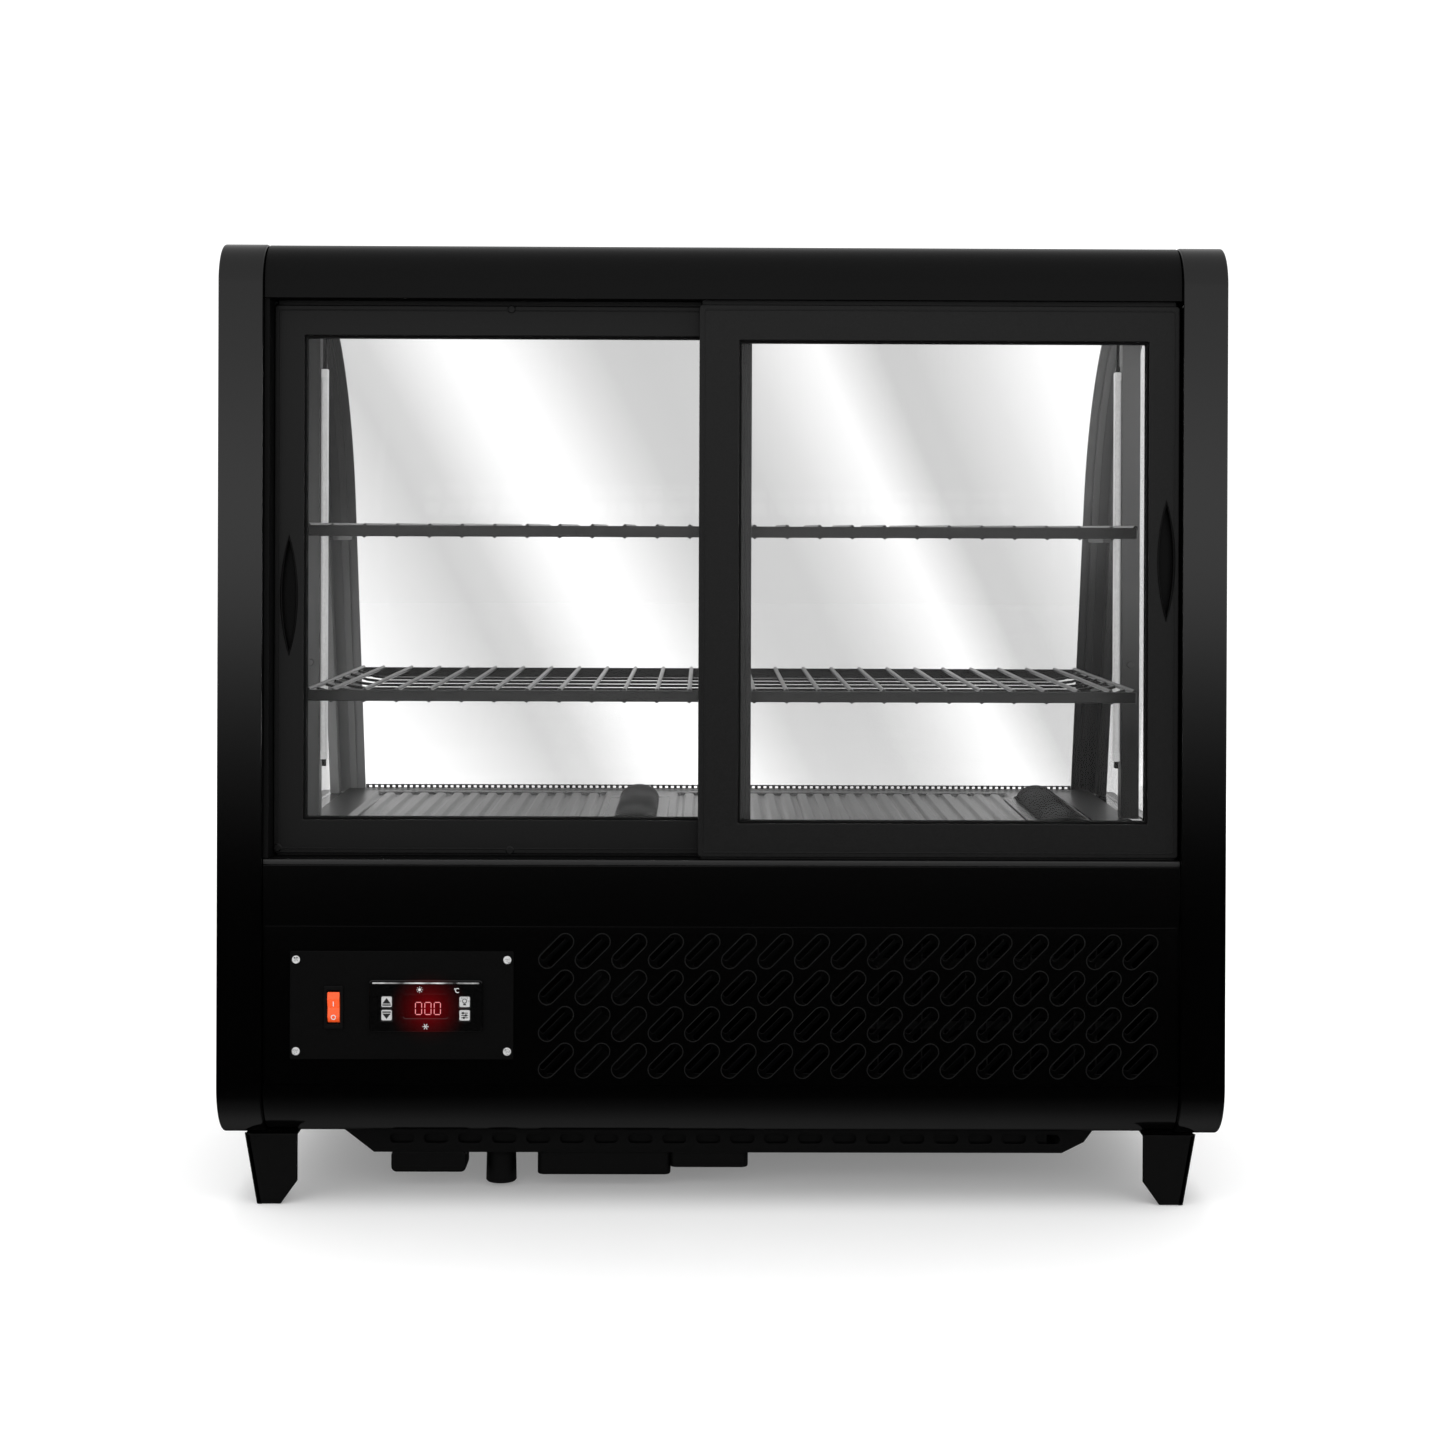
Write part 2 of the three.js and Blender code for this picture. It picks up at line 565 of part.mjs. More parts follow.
// thin fins on tubes between two end plates
function finnedCoil(x, y, z, fins) {
  const pitch = (x[1] - x[0] - 1) / (fins - 1);
  const starts = Array.from({ length: fins }, (_, i) => x[0] + i * pitch);
  const plates = starts.map((start) => block([start, start + 1], y, z));
  const tubes = [];
  for (const tubeY of [y[0] + 10, y[1] - 16]) {
    for (const tubeZ of [z[0] + 12, (z[0] + z[1]) / 2, z[1] - 18]) {
      tubes.push(block([x[0] - 4, x[1] + 4], [tubeY, tubeY + 6], [tubeZ, tubeZ + 6]));
    }
  }
  return union([...plates, ...tubes]);
}

// the plate that carries a fan: a round mouth crossed by an arm that holds the motor, and side flanges
function fanPlate(x, size, depth, height, flange) {
  const half = size / 2;
  const z = [height - half, height + half];
  const y = [depth, depth + SHEET];
  const mouth = cylinder(half - 6, 40, 24, 'y', 0, depth, height);
  const arm = block([-half + 2, half - 2], y, [height - 3, height + 3]);
  const motor = cylinder(15, 26, 16, 'y', 0, depth + 13, height);
  const sides = [-half, half - SHEET];
  const flanges = sides.map((start) => block([start, start + SHEET], [depth - flange, depth + SHEET], z));
  return union([block([-half, half], y, z).subtract(mouth), arm, motor, ...flanges]).translate([x, 0, 0]);
}

function fanRotor(x, depth, height, radius) {
  const hub = cylinder(13, 12, 16, 'y', 0, 0, 0);
  const blades = Array.from({ length: 5 }, (_, i) => {
    const geometry = new THREE.BoxGeometry(22, 1.6, radius - 8);
    geometry.rotateZ(THREE.MathUtils.degToRad(24));
    geometry.translate(0, 0, (radius + 8) / 2);
    geometry.rotateY((i * 2 * Math.PI) / 5);
    geometry.translate(0, fromFace(0), 0);
    return solid(geometry);
  });
  return union([hub, ...blades]).translate([x, depth, height]);
}

function compressor(x, depth) {
  const profile = [
    [0, 0], [52, 0], [52, 4], [56, 10], [56, 70], [58, 72],
    [58, 76], [56, 78], [54, 100], [42, 118], [24, 128], [0, 131],
  ];
  const points = profile.map(([radius, height]) => new THREE.Vector2(radius, height));
  const shell = new THREE.LatheGeometry(points, 24);
  shell.rotateX(Math.PI / 2);
  shell.translate(x, fromFace(depth), MACHINE_FLOOR + 8);
  const foot = block([x - 62, x + 62], [depth - 45, depth + 45], [MACHINE_FLOOR + GAP, MACHINE_FLOOR + 9]);
  return solid(shell).add(foot);
}

function condensateTray() {
  const ceiling = PAN_BOTTOM - GAP;
  const wide = block([-132, -36], [70, 190], [10.2, ceiling]);
  const step = block([-37, 20], [70, 150], [15.5, ceiling]);
  const hollow = block([-129, -39], [73, 187], [13.2, 60]);
  return wide.add(step).subtract(hollow);
}

function drainSpout() {
  const z = [2.5, PAN_BOTTOM - GAP];
  return cylinder(11.1, z[1] - z[0], 16, 'z', -159, 85, (z[0] + z[1]) / 2);
}

// ---- assembly ----------------------------------------------------------------------------------
for (const side of ['left', 'right']) {
  addPart(`${side}_side_frame`, sideFrame(side), PAINT);
  addPart(`${side}_side_glass`, sideGlass(side), GLASS);
  addPart(`${side}_front_pillar`, frontPillar(side), PLASTIC);
  addPart(`${side}_shelf_post`, shelfPost(side), PAINT);
  addPart(`${side}_light_strip`, lightStrip(side), LIGHT_WHITE);
  addPart(`${side}_door_frame`, doorFrame(DOORS[side]), PLASTIC);
  addPart(`${side}_door_glass`, doorGlass(DOORS[side]), GLASS);
  for (const [level, { top }] of Object.entries(SHELVES)) {
    addPart(`${side}_${level}_bracket`, shelfBracket(side, top), PAINT);
  }
}
addPart('top_panel', topPanel(), PAINT);
addPart('ceiling_panel', ceilingPanel(), PAINT);
addPart('rear_lower_panel', rearLowerPanel(), PAINT);
addPart('access_panel', accessPanel(), PAINT);
addPart('front_base_panel', frontBasePanel(), PAINT);
addPart('base_pan', basePan(), PAINT);
addPart('front_glass', frontGlass(), GLASS);
const TRACK_Z = [TOP_UNDERSIDE, TOP_UNDERSIDE + 14];
addPart('upper_track', track(TRACK_Z, [TOP_UNDERSIDE - 1, TOP_UNDERSIDE + 10]), PLASTIC);
addPart('lower_track', track([SILL - 12, SILL], [SILL - 6.2, SILL + 1]), PLASTIC);

addPart('control_plate', controlPlate(), PLASTIC);
for (const [i, [dx, dz]] of [[-1, 1], [1, 1], [-1, -1], [1, -1]].entries()) {
  const place = [PLATE.x + dx * 73.2, plateFace - 1.2 - GAP, PLATE.z + dz * 31.8];
  addPart(`plate_screw_${i + 1}`, plateScrew(), SCREW_STEEL, place);
}
addPart('switch_bezel', switchBezel(), PLASTIC);
addPart('rocker', rocker(), ROCKER_ORANGE);
addPart('controller_housing', controllerHousing(), GLOSS);
addPart('display_window', displayWindow(), SCREEN);
for (const [name, [x, z]] of Object.entries(KEYS)) addPart(`key_${name}`, key(), KEY_GREY, [x, 0.5, z]);

addPart('deck_plate', deckPlate(), STEEL);
addPart('centre_louvre', louvre(LOUVRES.centre), PLASTIC);
addPart('right_louvre', louvre(LOUVRES.right), PLASTIC);
for (const [level, shelf] of Object.entries(SHELVES)) addPart(`${level}_shelf`, wireShelf(shelf), WIRE_COAT);

addPart('evaporator_tub', evaporatorTub(), PLASTIC);
addPart('evaporator_coil', finnedCoil([-180, 60], [280, 380], [TUB_FLOOR, TUB_FLOOR + 75], 12), ALUMINIUM);
addPart('evaporator_fan_plate', fanPlate(150, 96, 300, EVAPORATOR_FAN_Z, 12), STEEL);
addPart('evaporator_fan_rotor', fanRotor(150, 292, EVAPORATOR_FAN_Z, 39), PLASTIC);
addPart('condenser_coil', finnedCoil([110, 280], [26, 66], [60, 185], 12), ALUMINIUM);
addPart('condenser_fan_plate', fanPlate(195, 130, 90, CONDENSER_FAN_Z, 90 - 66 - GAP), STEEL);
addPart('condenser_fan_rotor', fanRotor(195, 81, CONDENSER_FAN_Z, 55), PLASTIC);
addPart('compressor', compressor(-90, 140), CASTING);
addPart('condensate_tray', condensateTray(), PLASTIC);
addPart('drain_spout', drainSpout(), PLASTIC);
addPart('cable_gland', cylinder(8, 10, 12, 'z', 285, 110, LEG_HEIGHT - GAP - 5), RUBBER);

const CORNERS = { left_rear: [-1, 1], right_rear: [1, 1], left_front: [-1, -1], right_front: [1, -1] };
for (const [name, [x, y]] of Object.entries(CORNERS)) {
  const mirroredLeg = leg().scale([x, y, 1]);
  const depth = y > 0 ? LEG_INSET : DEPTH - LEG_INSET;
  addPart(`${name}_leg`, mirroredLeg, PLASTIC, [x * LEG_X, depth, 0]);
}

export default display_case;
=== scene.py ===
"""The looks of a refrigerated bakery display case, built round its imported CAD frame.

Sizes are in millimetres and become metres when a mesh is made. x runs across the case, depth is the
distance behind the service face, and z is the height above the surface that the legs stand on.
"""
import math

import bmesh
import bpy
from mathutils import Matrix, Vector

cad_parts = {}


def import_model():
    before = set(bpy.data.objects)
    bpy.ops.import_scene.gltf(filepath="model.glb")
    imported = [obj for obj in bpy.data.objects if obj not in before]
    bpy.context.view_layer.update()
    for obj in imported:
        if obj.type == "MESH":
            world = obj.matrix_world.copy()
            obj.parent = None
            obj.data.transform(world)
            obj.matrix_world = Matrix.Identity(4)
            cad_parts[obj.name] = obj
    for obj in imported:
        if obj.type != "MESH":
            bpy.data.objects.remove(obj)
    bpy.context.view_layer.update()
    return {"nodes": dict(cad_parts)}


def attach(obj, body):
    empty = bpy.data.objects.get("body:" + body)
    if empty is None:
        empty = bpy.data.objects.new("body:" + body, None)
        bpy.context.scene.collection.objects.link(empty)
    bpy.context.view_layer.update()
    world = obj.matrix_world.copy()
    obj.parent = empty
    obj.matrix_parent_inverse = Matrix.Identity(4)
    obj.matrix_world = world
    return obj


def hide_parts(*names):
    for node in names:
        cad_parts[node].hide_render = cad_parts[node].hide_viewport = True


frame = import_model()
NODES = frame["nodes"]
MM = 0.001
SERVICE_FACE_Y = -0.225

# ---- sizes shared with the CAD ------------------------------------------------------------------
HALF_WIDTH, DEPTH, HEIGHT = 350, 450, 675
CHEEK_INNER = 319
BASE_BOTTOM, PAN_BOTTOM = 50, 27.5
TOP_CORNER, BOTTOM_CORNER = 28, 40
POST_DEPTH, TOP_DEPTH, TOP_UNDERSIDE = 62, 165, 636
SILL, REST = 246, 248
RECESS, SHEET = 5, 1.2
PANEL_HALF = CHEEK_INNER - 0.3
PANEL_X = (-PANEL_HALF, PANEL_HALF)
PANEL_Z = (89.7, 199.7)
GLASS_FOOT, GLASS_FOOT_Z, GLASS_THICKNESS = 430, 248.3, 5
GLASS_LEAN = math.radians(15)
GLASS_BEND_Z = 500
GLASS_HALF = 339
DECK_Z, DECK_DEPTH = 252, (39, 418)
LOUVRES = {"centre": -66, "right": 262}
POST_X, POST_Y, POST_TOP = (311.5, 325.5), (206, 220), 641
SHELVES = {"upper": (480, 350), "lower": (360, 384)}
SHELF_HALF, SHELF_START = 303.8, 90
PLATE_X, PLATE_Z, PLATE_FACE = -221.9, 145.1, 3.6
SWITCH_X, SWITCH_Z, CONTROLLER_X = -269, PLATE_Z - 1.4, -205
ROCKER_TILT = 6
KEYS = {"up": (-232, 148.1), "down": (-232, 138.8), "light": (-178, 148.1), "set": (-178, 138.8)}
DOORS = {
    "left": dict(x=-315, face=25, stiles=(21, 24), rails=(24, 21.5), pull=(-304.5, 428.5)),
    "right": dict(x=-17, face=9, stiles=(28, 21.5), rails=(24, 25), pull=(309, 455)),
}
DOOR_WIDTH, DOOR_Z, DOOR_THICKNESS = 335, (247.5, 632.7), 12
PAN_INSET, LEG_INSET, LEG_X = 65.3, 48, 316.9
SLOT_COLUMNS, SLOT_ROWS, SLOT_PITCH, SLOT_TURN = 17, 4, 25.4, -45


# ---- outlines -----------------------------------------------------------------------------------
def arc(centre, radius, start, end, steps=12):
    """Points on an arc, from one angle in degrees to another."""
    points = []
    for i in range(steps + 1):
        angle = math.radians(start + (end - start) * i / steps)
        points.append((centre[0] + radius * math.cos(angle), centre[1] + radius * math.sin(angle)))
    return points


def rounded(u, v, radius=0.0, steps=6):
    """A rectangle with rounded corners; u and v are its low and high limits."""
    if not radius:
        return [(u[0], v[0]), (u[1], v[0]), (u[1], v[1]), (u[0], v[1])]
    low, high = (u[0] + radius, v[0] + radius), (u[1] - radius, v[1] - radius)
    return (arc(low, radius, 180, 270, steps) + arc((high[0], low[1]), radius, 270, 360, steps)
            + arc(high, radius, 0, 90, steps) + arc((low[0], high[1]), radius, 90, 180, steps))


def around(x, z, half_x, half_z, radius=0.0, steps=6):
    """A rounded rectangle given by its middle and half sizes."""
    return rounded((x - half_x, x + half_x), (z - half_z, z + half_z), radius, steps)


def inset(x, z, by, radius=0.0, steps=6):
    """A rounded rectangle that lies inside the given limits by the same margin all round."""
    return rounded((x[0] + by, x[1] - by), (z[0] + by, z[1] - by), radius, steps)


def turned(points, centre, degrees):
    """The same outline turned about a point."""
    angle = math.radians(degrees)
    cos, sin = math.cos(angle), math.sin(angle)
    return [(centre[0] + (u - centre[0]) * cos - (v - centre[1]) * sin,
             centre[1] + (u - centre[0]) * sin + (v - centre[1]) * cos) for u, v in points]


def circle(centre, radius, steps=24):
    return arc(centre, radius, 0, 360, steps)[:-1]


def sided(side, low, high):
    """A range across the width on the right, or its mirror image on the left."""
    return (low, high) if side == "right" else (-high, -low)


# ---- meshes -------------------------------------------------------------------------------------
def to_world(u, v, w, axis):
    """u, v lie in the outline's plane and w along its axis; for x, u is the depth and w the width."""
    if axis == "x":
        return Vector((w * MM, SERVICE_FACE_Y + u * MM, v * MM))
    if axis == "y":
        return Vector((u * MM, SERVICE_FACE_Y + w * MM, v * MM))
    return Vector((u * MM, SERVICE_FACE_Y + v * MM, w * MM))


def curve_mesh(curve, place):
    """The mesh of a curve, with each vertex moved by place."""
    holder = bpy.data.objects.new("holder", curve)
    bpy.context.scene.collection.objects.link(holder)
    depsgraph = bpy.context.evaluated_depsgraph_get()
    mesh = bpy.data.meshes.new_from_object(holder.evaluated_get(depsgraph))
    bpy.data.objects.remove(holder)
    bpy.data.curves.remove(curve)
    for vertex in mesh.vertices:
        vertex.co = place(vertex.co)
    bm = bmesh.new()
    bm.from_mesh(mesh)
    bpy.data.meshes.remove(mesh)
    return finished(bm, "curve")


def slab(outline, axis, span, bevel=0.3, holes=(), steps=2):
    """A flat piece of any outline, with holes, whose edges are rounded inwards by bevel."""
    curve = bpy.data.curves.new("slab", "CURVE")
    curve.dimensions = "2D"
    curve.fill_mode = "BOTH"
    for loop in (outline, *holes):
        spline = curve.splines.new("POLY")
        spline.points.add(len(loop) - 1)
        for point, (u, v) in zip(spline.points, loop):
            point.co = (u, v, 0, 1)
        spline.use_cyclic_u = True
    curve.extrude = (span[1] - span[0]) / 2 - bevel
    curve.bevel_depth = bevel
    curve.offset = -bevel
    curve.bevel_resolution = steps
    middle = (span[0] + span[1]) / 2
    return curve_mesh(curve, lambda co: to_world(co.x, co.y, middle + co.z, axis))


def block(x, depth, z, bevel=0.3, radius=0.0):
    """A box with rounded edges, and optionally rounded corners seen from the service side."""
    return slab(rounded(x, z, radius), "y", depth, bevel)


def rods(paths, radius, closed=False, steps=2):
    """Round wires along paths of (x, depth, z) points."""
    curve = bpy.data.curves.new("rods", "CURVE")
    curve.dimensions = "3D"
    curve.bevel_depth = radius
    curve.bevel_resolution = steps
    curve.use_fill_caps = not closed
    for path in paths:
        spline = curve.splines.new("POLY")
        spline.points.add(len(path) - 1)
        for point, co in zip(spline.points, path):
            point.co = (*co, 1)
        spline.use_cyclic_u = closed
    return curve_mesh(curve, lambda co: to_world(co.x, co.y, co.z, "z"))


def lathe(profile, centre, axis, steps=32):
    """A turned piece: (radius, height) points spun about an axis through centre, (x, depth, z)."""
    bm = bmesh.new()
    rings = []
    for radius, height in profile:
        ring = []
        for i in range(steps):
            angle = 2 * math.pi * i / steps
            a, b = radius * math.cos(angle), radius * math.sin(angle)
            offset = {"x": (height, a, b), "y": (a, height, b), "z": (a, b, height)}[axis]
            ring.append(bm.verts.new(to_world(*(c + o for c, o in zip(centre, offset)), "z")))
        rings.append(ring)
    for lower, upper in zip(rings, rings[1:]):
        for i in range(steps):
            j = (i + 1) % steps
            bm.faces.new((lower[i], lower[j], upper[j], upper[i]))
    bm.faces.new(rings[0][::-1])
    bm.faces.new(rings[-1])
    return finished(bm, "lathe")


def finished(bm, name):
    """Closes off a bmesh: doubles merged, normals outwards, as a mesh."""
    bmesh.ops.remove_doubles(bm, verts=bm.verts, dist=2e-6)
    bmesh.ops.dissolve_degenerate(bm, edges=bm.edges, dist=1e-7)
    bmesh.ops.recalc_face_normals(bm, faces=bm.faces)
    mesh = bpy.data.meshes.new(name)
    bm.to_mesh(mesh)
    bm.free()
    return mesh


def close_grids(bm, front, back):
    """Faces on two matching grids of vertices, and round their shared border."""
    rows, columns = len(front), len(front[0])
    for i in range(rows - 1):
        for j in range(columns - 1):
            bm.faces.new((front[i][j], front[i + 1][j], front[i + 1][j + 1], front[i][j + 1]))
            bm.faces.new((back[i][j], back[i][j + 1], back[i + 1][j + 1], back[i + 1][j]))
    for i in range(rows - 1):
        for j in (0, columns - 1):
            bm.faces.new((front[i][j], front[i + 1][j], back[i + 1][j], back[i][j]))
    for j in range(columns - 1):
        for i in (0, rows - 1):
            bm.faces.new((front[i][j], front[i][j + 1], back[i][j + 1], back[i][j]))


def sheet(us, vs, point, thickness):
    """A closed sheet over a grid: point(u, v) gives (x, depth, z) of its top, thickness goes down."""
    bm = bmesh.new()
    top = [[bm.verts.new(to_world(*point(u, v), "z")) for v in vs] for u in us]
    drop = Vector((0, 0, -thickness * MM))
    bottom = [[bm.verts.new(vertex.co + drop) for vertex in row] for row in top]
    close_grids(bm, top, bottom)
    return finished(bm, "sheet")


def piece(name, meshes, material, body, replaces=(), sharp=25):
    """One visual object from closed meshes, riding on a body."""
    bm = bmesh.new()
    for mesh in meshes:
        bm.from_mesh(mesh)
        bpy.data.meshes.remove(mesh)
    merged = bpy.data.meshes.new(name)
    bm.to_mesh(merged)
    bm.free()
    merged.materials.append(material)
    merged.shade_smooth()
    merged.set_sharp_from_angle(angle=math.radians(sharp))
    obj = bpy.data.objects.new(name, merged)
    bpy.context.scene.collection.objects.link(obj)
    weighted = obj.modifiers.new("weighted", "WEIGHTED_NORMAL")
    weighted.keep_sharp = True
    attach(obj, body)
    if replaces:
        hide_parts(*replaces)
    return obj


def fixed(name, meshes, material, replaces=(), sharp=25):
    """One visual object of the cabinet, which doesn't move."""
    return piece(name, meshes, material, "cabinet", replaces, sharp)


# ---- materials ----------------------------------------------------------------------------------
def grey(value, tint=(1, 1, 1)):
    """Linear colour of an sRGB level from 0 to 255."""
    s = value / 255
    linear = s / 12.92 if s <= 0.04045 else ((s + 0.055) / 1.055) ** 2.4
    return (linear * tint[0], linear * tint[1], linear * tint[2], 1)


def add_node(tree, kind, **inputs):
    """A new shader node with some of its inputs set (_ for a space)."""
    made = tree.nodes.new("ShaderNode" + kind)
    for socket, value in inputs.items():
        made.inputs[socket.replace("_", " ")].default_value = value
    return made


def add_ramp(tree, factor, stops):
    """The colour output of a ramp through (place from 0 to 1, linear colour) stops."""
    ramp = add_node(tree, "ValToRGB")
    elements = ramp.color_ramp.elements
    while len(elements) < len(stops):
        elements.new(0.5)
    for element, (place, colour) in zip(elements, stops):
        element.position = place
        element.color = colour
    tree.links.new(factor, ramp.inputs["Fac"])
    return ramp.outputs["Color"]


def add_scale(tree, length, stops):
    """The grey that belongs to a length in metres, through (mm, sRGB level) stops."""
    low, high = stops[0][0], stops[-1][0]
    rescale = add_node(tree, "MapRange", From_Min=low * MM, From_Max=high * MM)
    tree.links.new(length, rescale.inputs["Value"])
    return add_ramp(tree, rescale.outputs["Result"],
                    [((place - low) / (high - low), grey(level)) for place, level in stops])


def finish(name, dark, light, roughness, grain=400.0, bump=0.0, stretch=(1, 1, 1), **sockets):
    """A surface whose colour, roughness and relief vary with noise fixed to the object.

    dark and light are the two ends of its colour, roughness its range, grain the noise scale per
    metre, bump the relief in millimetres; other names set Principled sockets (_ for a space)."""
    material = bpy.data.materials.new(name)
    material.use_nodes = True
    tree = material.node_tree
    link = tree.links.new
    shader = tree.nodes["Principled BSDF"]
    coords = add_node(tree, "TexCoord")
    mapping = add_node(tree, "Mapping", Scale=stretch)
    noise = add_node(tree, "TexNoise", Scale=grain, Detail=4)
    spread = add_node(tree, "MapRange", To_Min=roughness[0], To_Max=roughness[1])
    link(coords.outputs["Object"], mapping.inputs["Vector"])
    link(mapping.outputs["Vector"], noise.inputs["Vector"])
    link(noise.outputs["Fac"], spread.inputs["Value"])
    link(add_ramp(tree, noise.outputs["Fac"], [(0.35, dark), (0.65, light)]),
         shader.inputs["Base Color"])
    link(spread.outputs["Result"], shader.inputs["Roughness"])
    if bump:
        relief = add_node(tree, "Bump", Distance=bump * MM, Strength=1)
        link(noise.outputs["Fac"], relief.inputs["Height"])
        link(relief.outputs["Normal"], shader.inputs["Normal"])
    for socket, value in sockets.items():
        shader.inputs[socket.replace("_", " ")].default_value = value
    return material


def paint(name, levels, roughness, grain, bump=0.0, gloss=0.5, **sockets):
    """A grey finish between two sRGB levels; gloss is its specular level."""
    return finish(name, grey(levels[0]), grey(levels[1]), roughness, grain, bump,
                  Specular_IOR_Level=gloss, **sockets)


def painted_reflection_gradient(name, stops):
    """Satin paint whose grey changes with height, a painted reflection of the door glass; each stop is a
    height in mm and a grey level.
    """
    material = paint(name, (80, 84), (0.4, 0.5), 1500, 0.02, 0.1)
    tree = material.node_tree
    split = add_node(tree, "SeparateXYZ")
    tree.links.new(tree.nodes["Texture Coordinate"].outputs["Object"], split.inputs["Vector"])
    tree.links.new(add_scale(tree, split.outputs["Z"], stops),
                   tree.nodes["Principled BSDF"].inputs["Base Color"])
    return material


def glass(name, tint=None, reflection_stops=()):
    """Clear glass that lets light through unshadowed; the optional (position, grey level) stops give it
    bands of painted reflection that run diagonally down the pane."""
    material = bpy.data.materials.new(name)
    material.use_nodes = True
    tree = material.node_tree
    link = tree.links.new
    shader = tree.nodes["Principled BSDF"]
    for socket, value in (("Transmission Weight", 1), ("IOR", 1.25), ("Roughness", 0)):
        shader.inputs[socket].default_value = value
    coords = add_node(tree, "TexCoord")
    if reflection_stops:
        colour = painted_reflection_bands(tree, coords.outputs["Object"], reflection_stops)
    else:
        mottle = add_node(tree, "TexNoise", Scale=6)
        link(coords.outputs["Object"], mottle.inputs["Vector"])
        brighter = tuple(min(1, c * 1.01) for c in tint)
        colour = add_ramp(tree, mottle.outputs["Fac"], [(0, tint), (1, brighter)])
    link(colour, shader.inputs["Base Color"])
    path = add_node(tree, "LightPath")
    clear = add_node(tree, "BsdfTransparent")
    mix = add_node(tree, "MixShader")
    link(path.outputs["Is Shadow Ray"], mix.inputs["Fac"])
    link(shader.outputs["BSDF"], mix.inputs[1])
    link(clear.outputs["BSDF"], mix.inputs[2])
    link(mix.outputs["Shader"], tree.nodes["Material Output"].inputs["Surface"])
    return material


def painted_reflection_bands(tree, place, stops):
    """A painted reflection: a colour that follows x plus the streak slope times z across the pane, through
    (mm, sRGB level) stops.
    """
    split = add_node(tree, "SeparateXYZ")
    diagonal = add_node(tree, "Math")
    diagonal.operation = "MULTIPLY_ADD"
    diagonal.inputs[1].default_value = REFLECTION_STREAK_SLOPE
    tree.links.new(place, split.inputs["Vector"])
    tree.links.new(split.outputs["Z"], diagonal.inputs[0])
    tree.links.new(split.outputs["X"], diagonal.inputs[2])
    return add_scale(tree, diagonal.outputs["Value"], stops)


def glowing(name, colour, strength):
    """A lit surface, slightly uneven as a real lamp or diode is."""
    material = paint(name, (20, 20), (0.3, 0.4), 900, Emission_Strength=strength)
    tree = material.node_tree
    dim = tuple(0.85 * c for c in colour[:3]) + (1,)
    tree.links.new(add_ramp(tree, tree.nodes["Noise Texture"].outputs["Fac"], [(0, dim), (1, colour)]),
                   tree.nodes["Principled BSDF"].inputs["Emission Color"])
    return material


REFLECTION_STREAK_SLOPE = 0.5
WHITE = (1, 1, 1, 1)
CASE_PAINT = paint("case_paint_gloss", (0, 2), (0.07, 0.12), 1800, 0.004, 0.55)
TOP_PAINT = paint("top_paint", (5, 8), (0.22, 0.3), 1800, 0.01, 0.13)
PANEL_PAINT = paint("lower_panel_paint", (0, 2), (0.1, 0.16), 1800, 0.004, 0.34)
RIM_HIGHLIGHT_PAINT = paint("rim_painted_highlight", (16, 24), (0.3, 0.4), 1800, 0.01, 0.12)
SILL_HIGHLIGHT_PAINT = paint("sill_painted_highlight", (24, 30), (0.25, 0.35), 1500, 0.01, 0.7)
DOOR_PLASTIC = paint("door_plastic", (13, 19), (0.26, 0.36), 900, 0.04, 0.26)
BLACK_PLASTIC = paint("black_plastic", (1, 4), (0.4, 0.55), 1200, 0.05, 0.2)
LOUVRE_PLASTIC = paint("louvre_plastic", (3, 8), (0.2, 0.3), 900, 0.02, 0.07)
GASKET = paint("gasket_rubber", (8, 12), (0.6, 0.7), 2500, 0.03, 0.15)
PLATE_PLASTIC = paint("textured_plate", (1, 9), (0.35, 0.5), 1500, 0.1, 0.1)
GLOSS_PLASTIC = paint("gloss_plastic", (4, 7), (0.08, 0.14), 600)
WIRE = paint("wire_coating", (7, 12), (0.25, 0.35), 1500, 0.03, 0.3)
DECK_STEEL = paint("deck_steel", (62, 72), (0.3, 0.42), 60, 0.01, stretch=(40, 1, 1), Metallic=1.0)
STEEL = paint("zinc_steel", (140, 165), (0.3, 0.5), 120, 0.02, Metallic=1.0)
SCREW_STEEL = paint("screw_steel", (190, 225), (0.25, 0.35), 3000, 0.02, Metallic=0.25)
FINS = paint("coil_fins", (165, 190), (0.3, 0.45), 300, 0.03, Metallic=1.0)
CASTING = paint("compressor_enamel", (10, 15), (0.4, 0.55), 700, 0.1, 0.2)
BLACK_FINS = paint("black_coil", (14, 20), (0.45, 0.6), 300, 0.03, 0.2)
KEY_PLASTIC = paint("key_plastic", (172, 190), (0.35, 0.45), 1500, 0.02)
ROCKER_RED = finish("rocker_orange", (0.78, 0.075, 0.012, 1), (0.86, 0.1, 0.02, 1), (0.2, 0.3),
                    1200, 0.02, Emission_Color=(1, 0.12, 0.02, 1), Emission_Strength=0.12)
DIFFUSER = paint("light_diffuser", (200, 212), (0.4, 0.5), 500, 0.02, Emission_Color=WHITE,
                 Emission_Strength=0.18)
SCREEN = paint("screen_lens", (3, 5), (0.05, 0.1), 900)
# A light grey for a painted highlight on the thermostat's top edge.
PAINTED_EDGE_HIGHLIGHT = paint("painted_edge_highlight", (40, 220), (0.1, 0.2), 60, gloss=0.8)
INK = paint("printed_white", (200, 220), (0.4, 0.5), 2000)
DARK_INK = paint("printed_black", (20, 26), (0.4, 0.5), 2000)
DIGIT_RED = glowing("lit_digit", (1, 0.3, 0.32, 1), 1.1)
DOOR_GLASS = glass("door_glass", grey(250))
SIDE_GLASS = glass("side_glass", grey(252))
# The front pane's diagonal grey and white bands are painted reflection streaks.
FRONT_GLASS = glass("front_glass", reflection_stops=[
    (-157, 255), (-60, 219), (-5, 197), (25, 204), (103, 255), (125, 251), (183, 215), (215, 197),
    (245, 194), (290, 195), (330, 212), (390, 245), (405, 230), (440, 195), (465, 196), (520, 219),
    (590, 255), (700, 255),
])


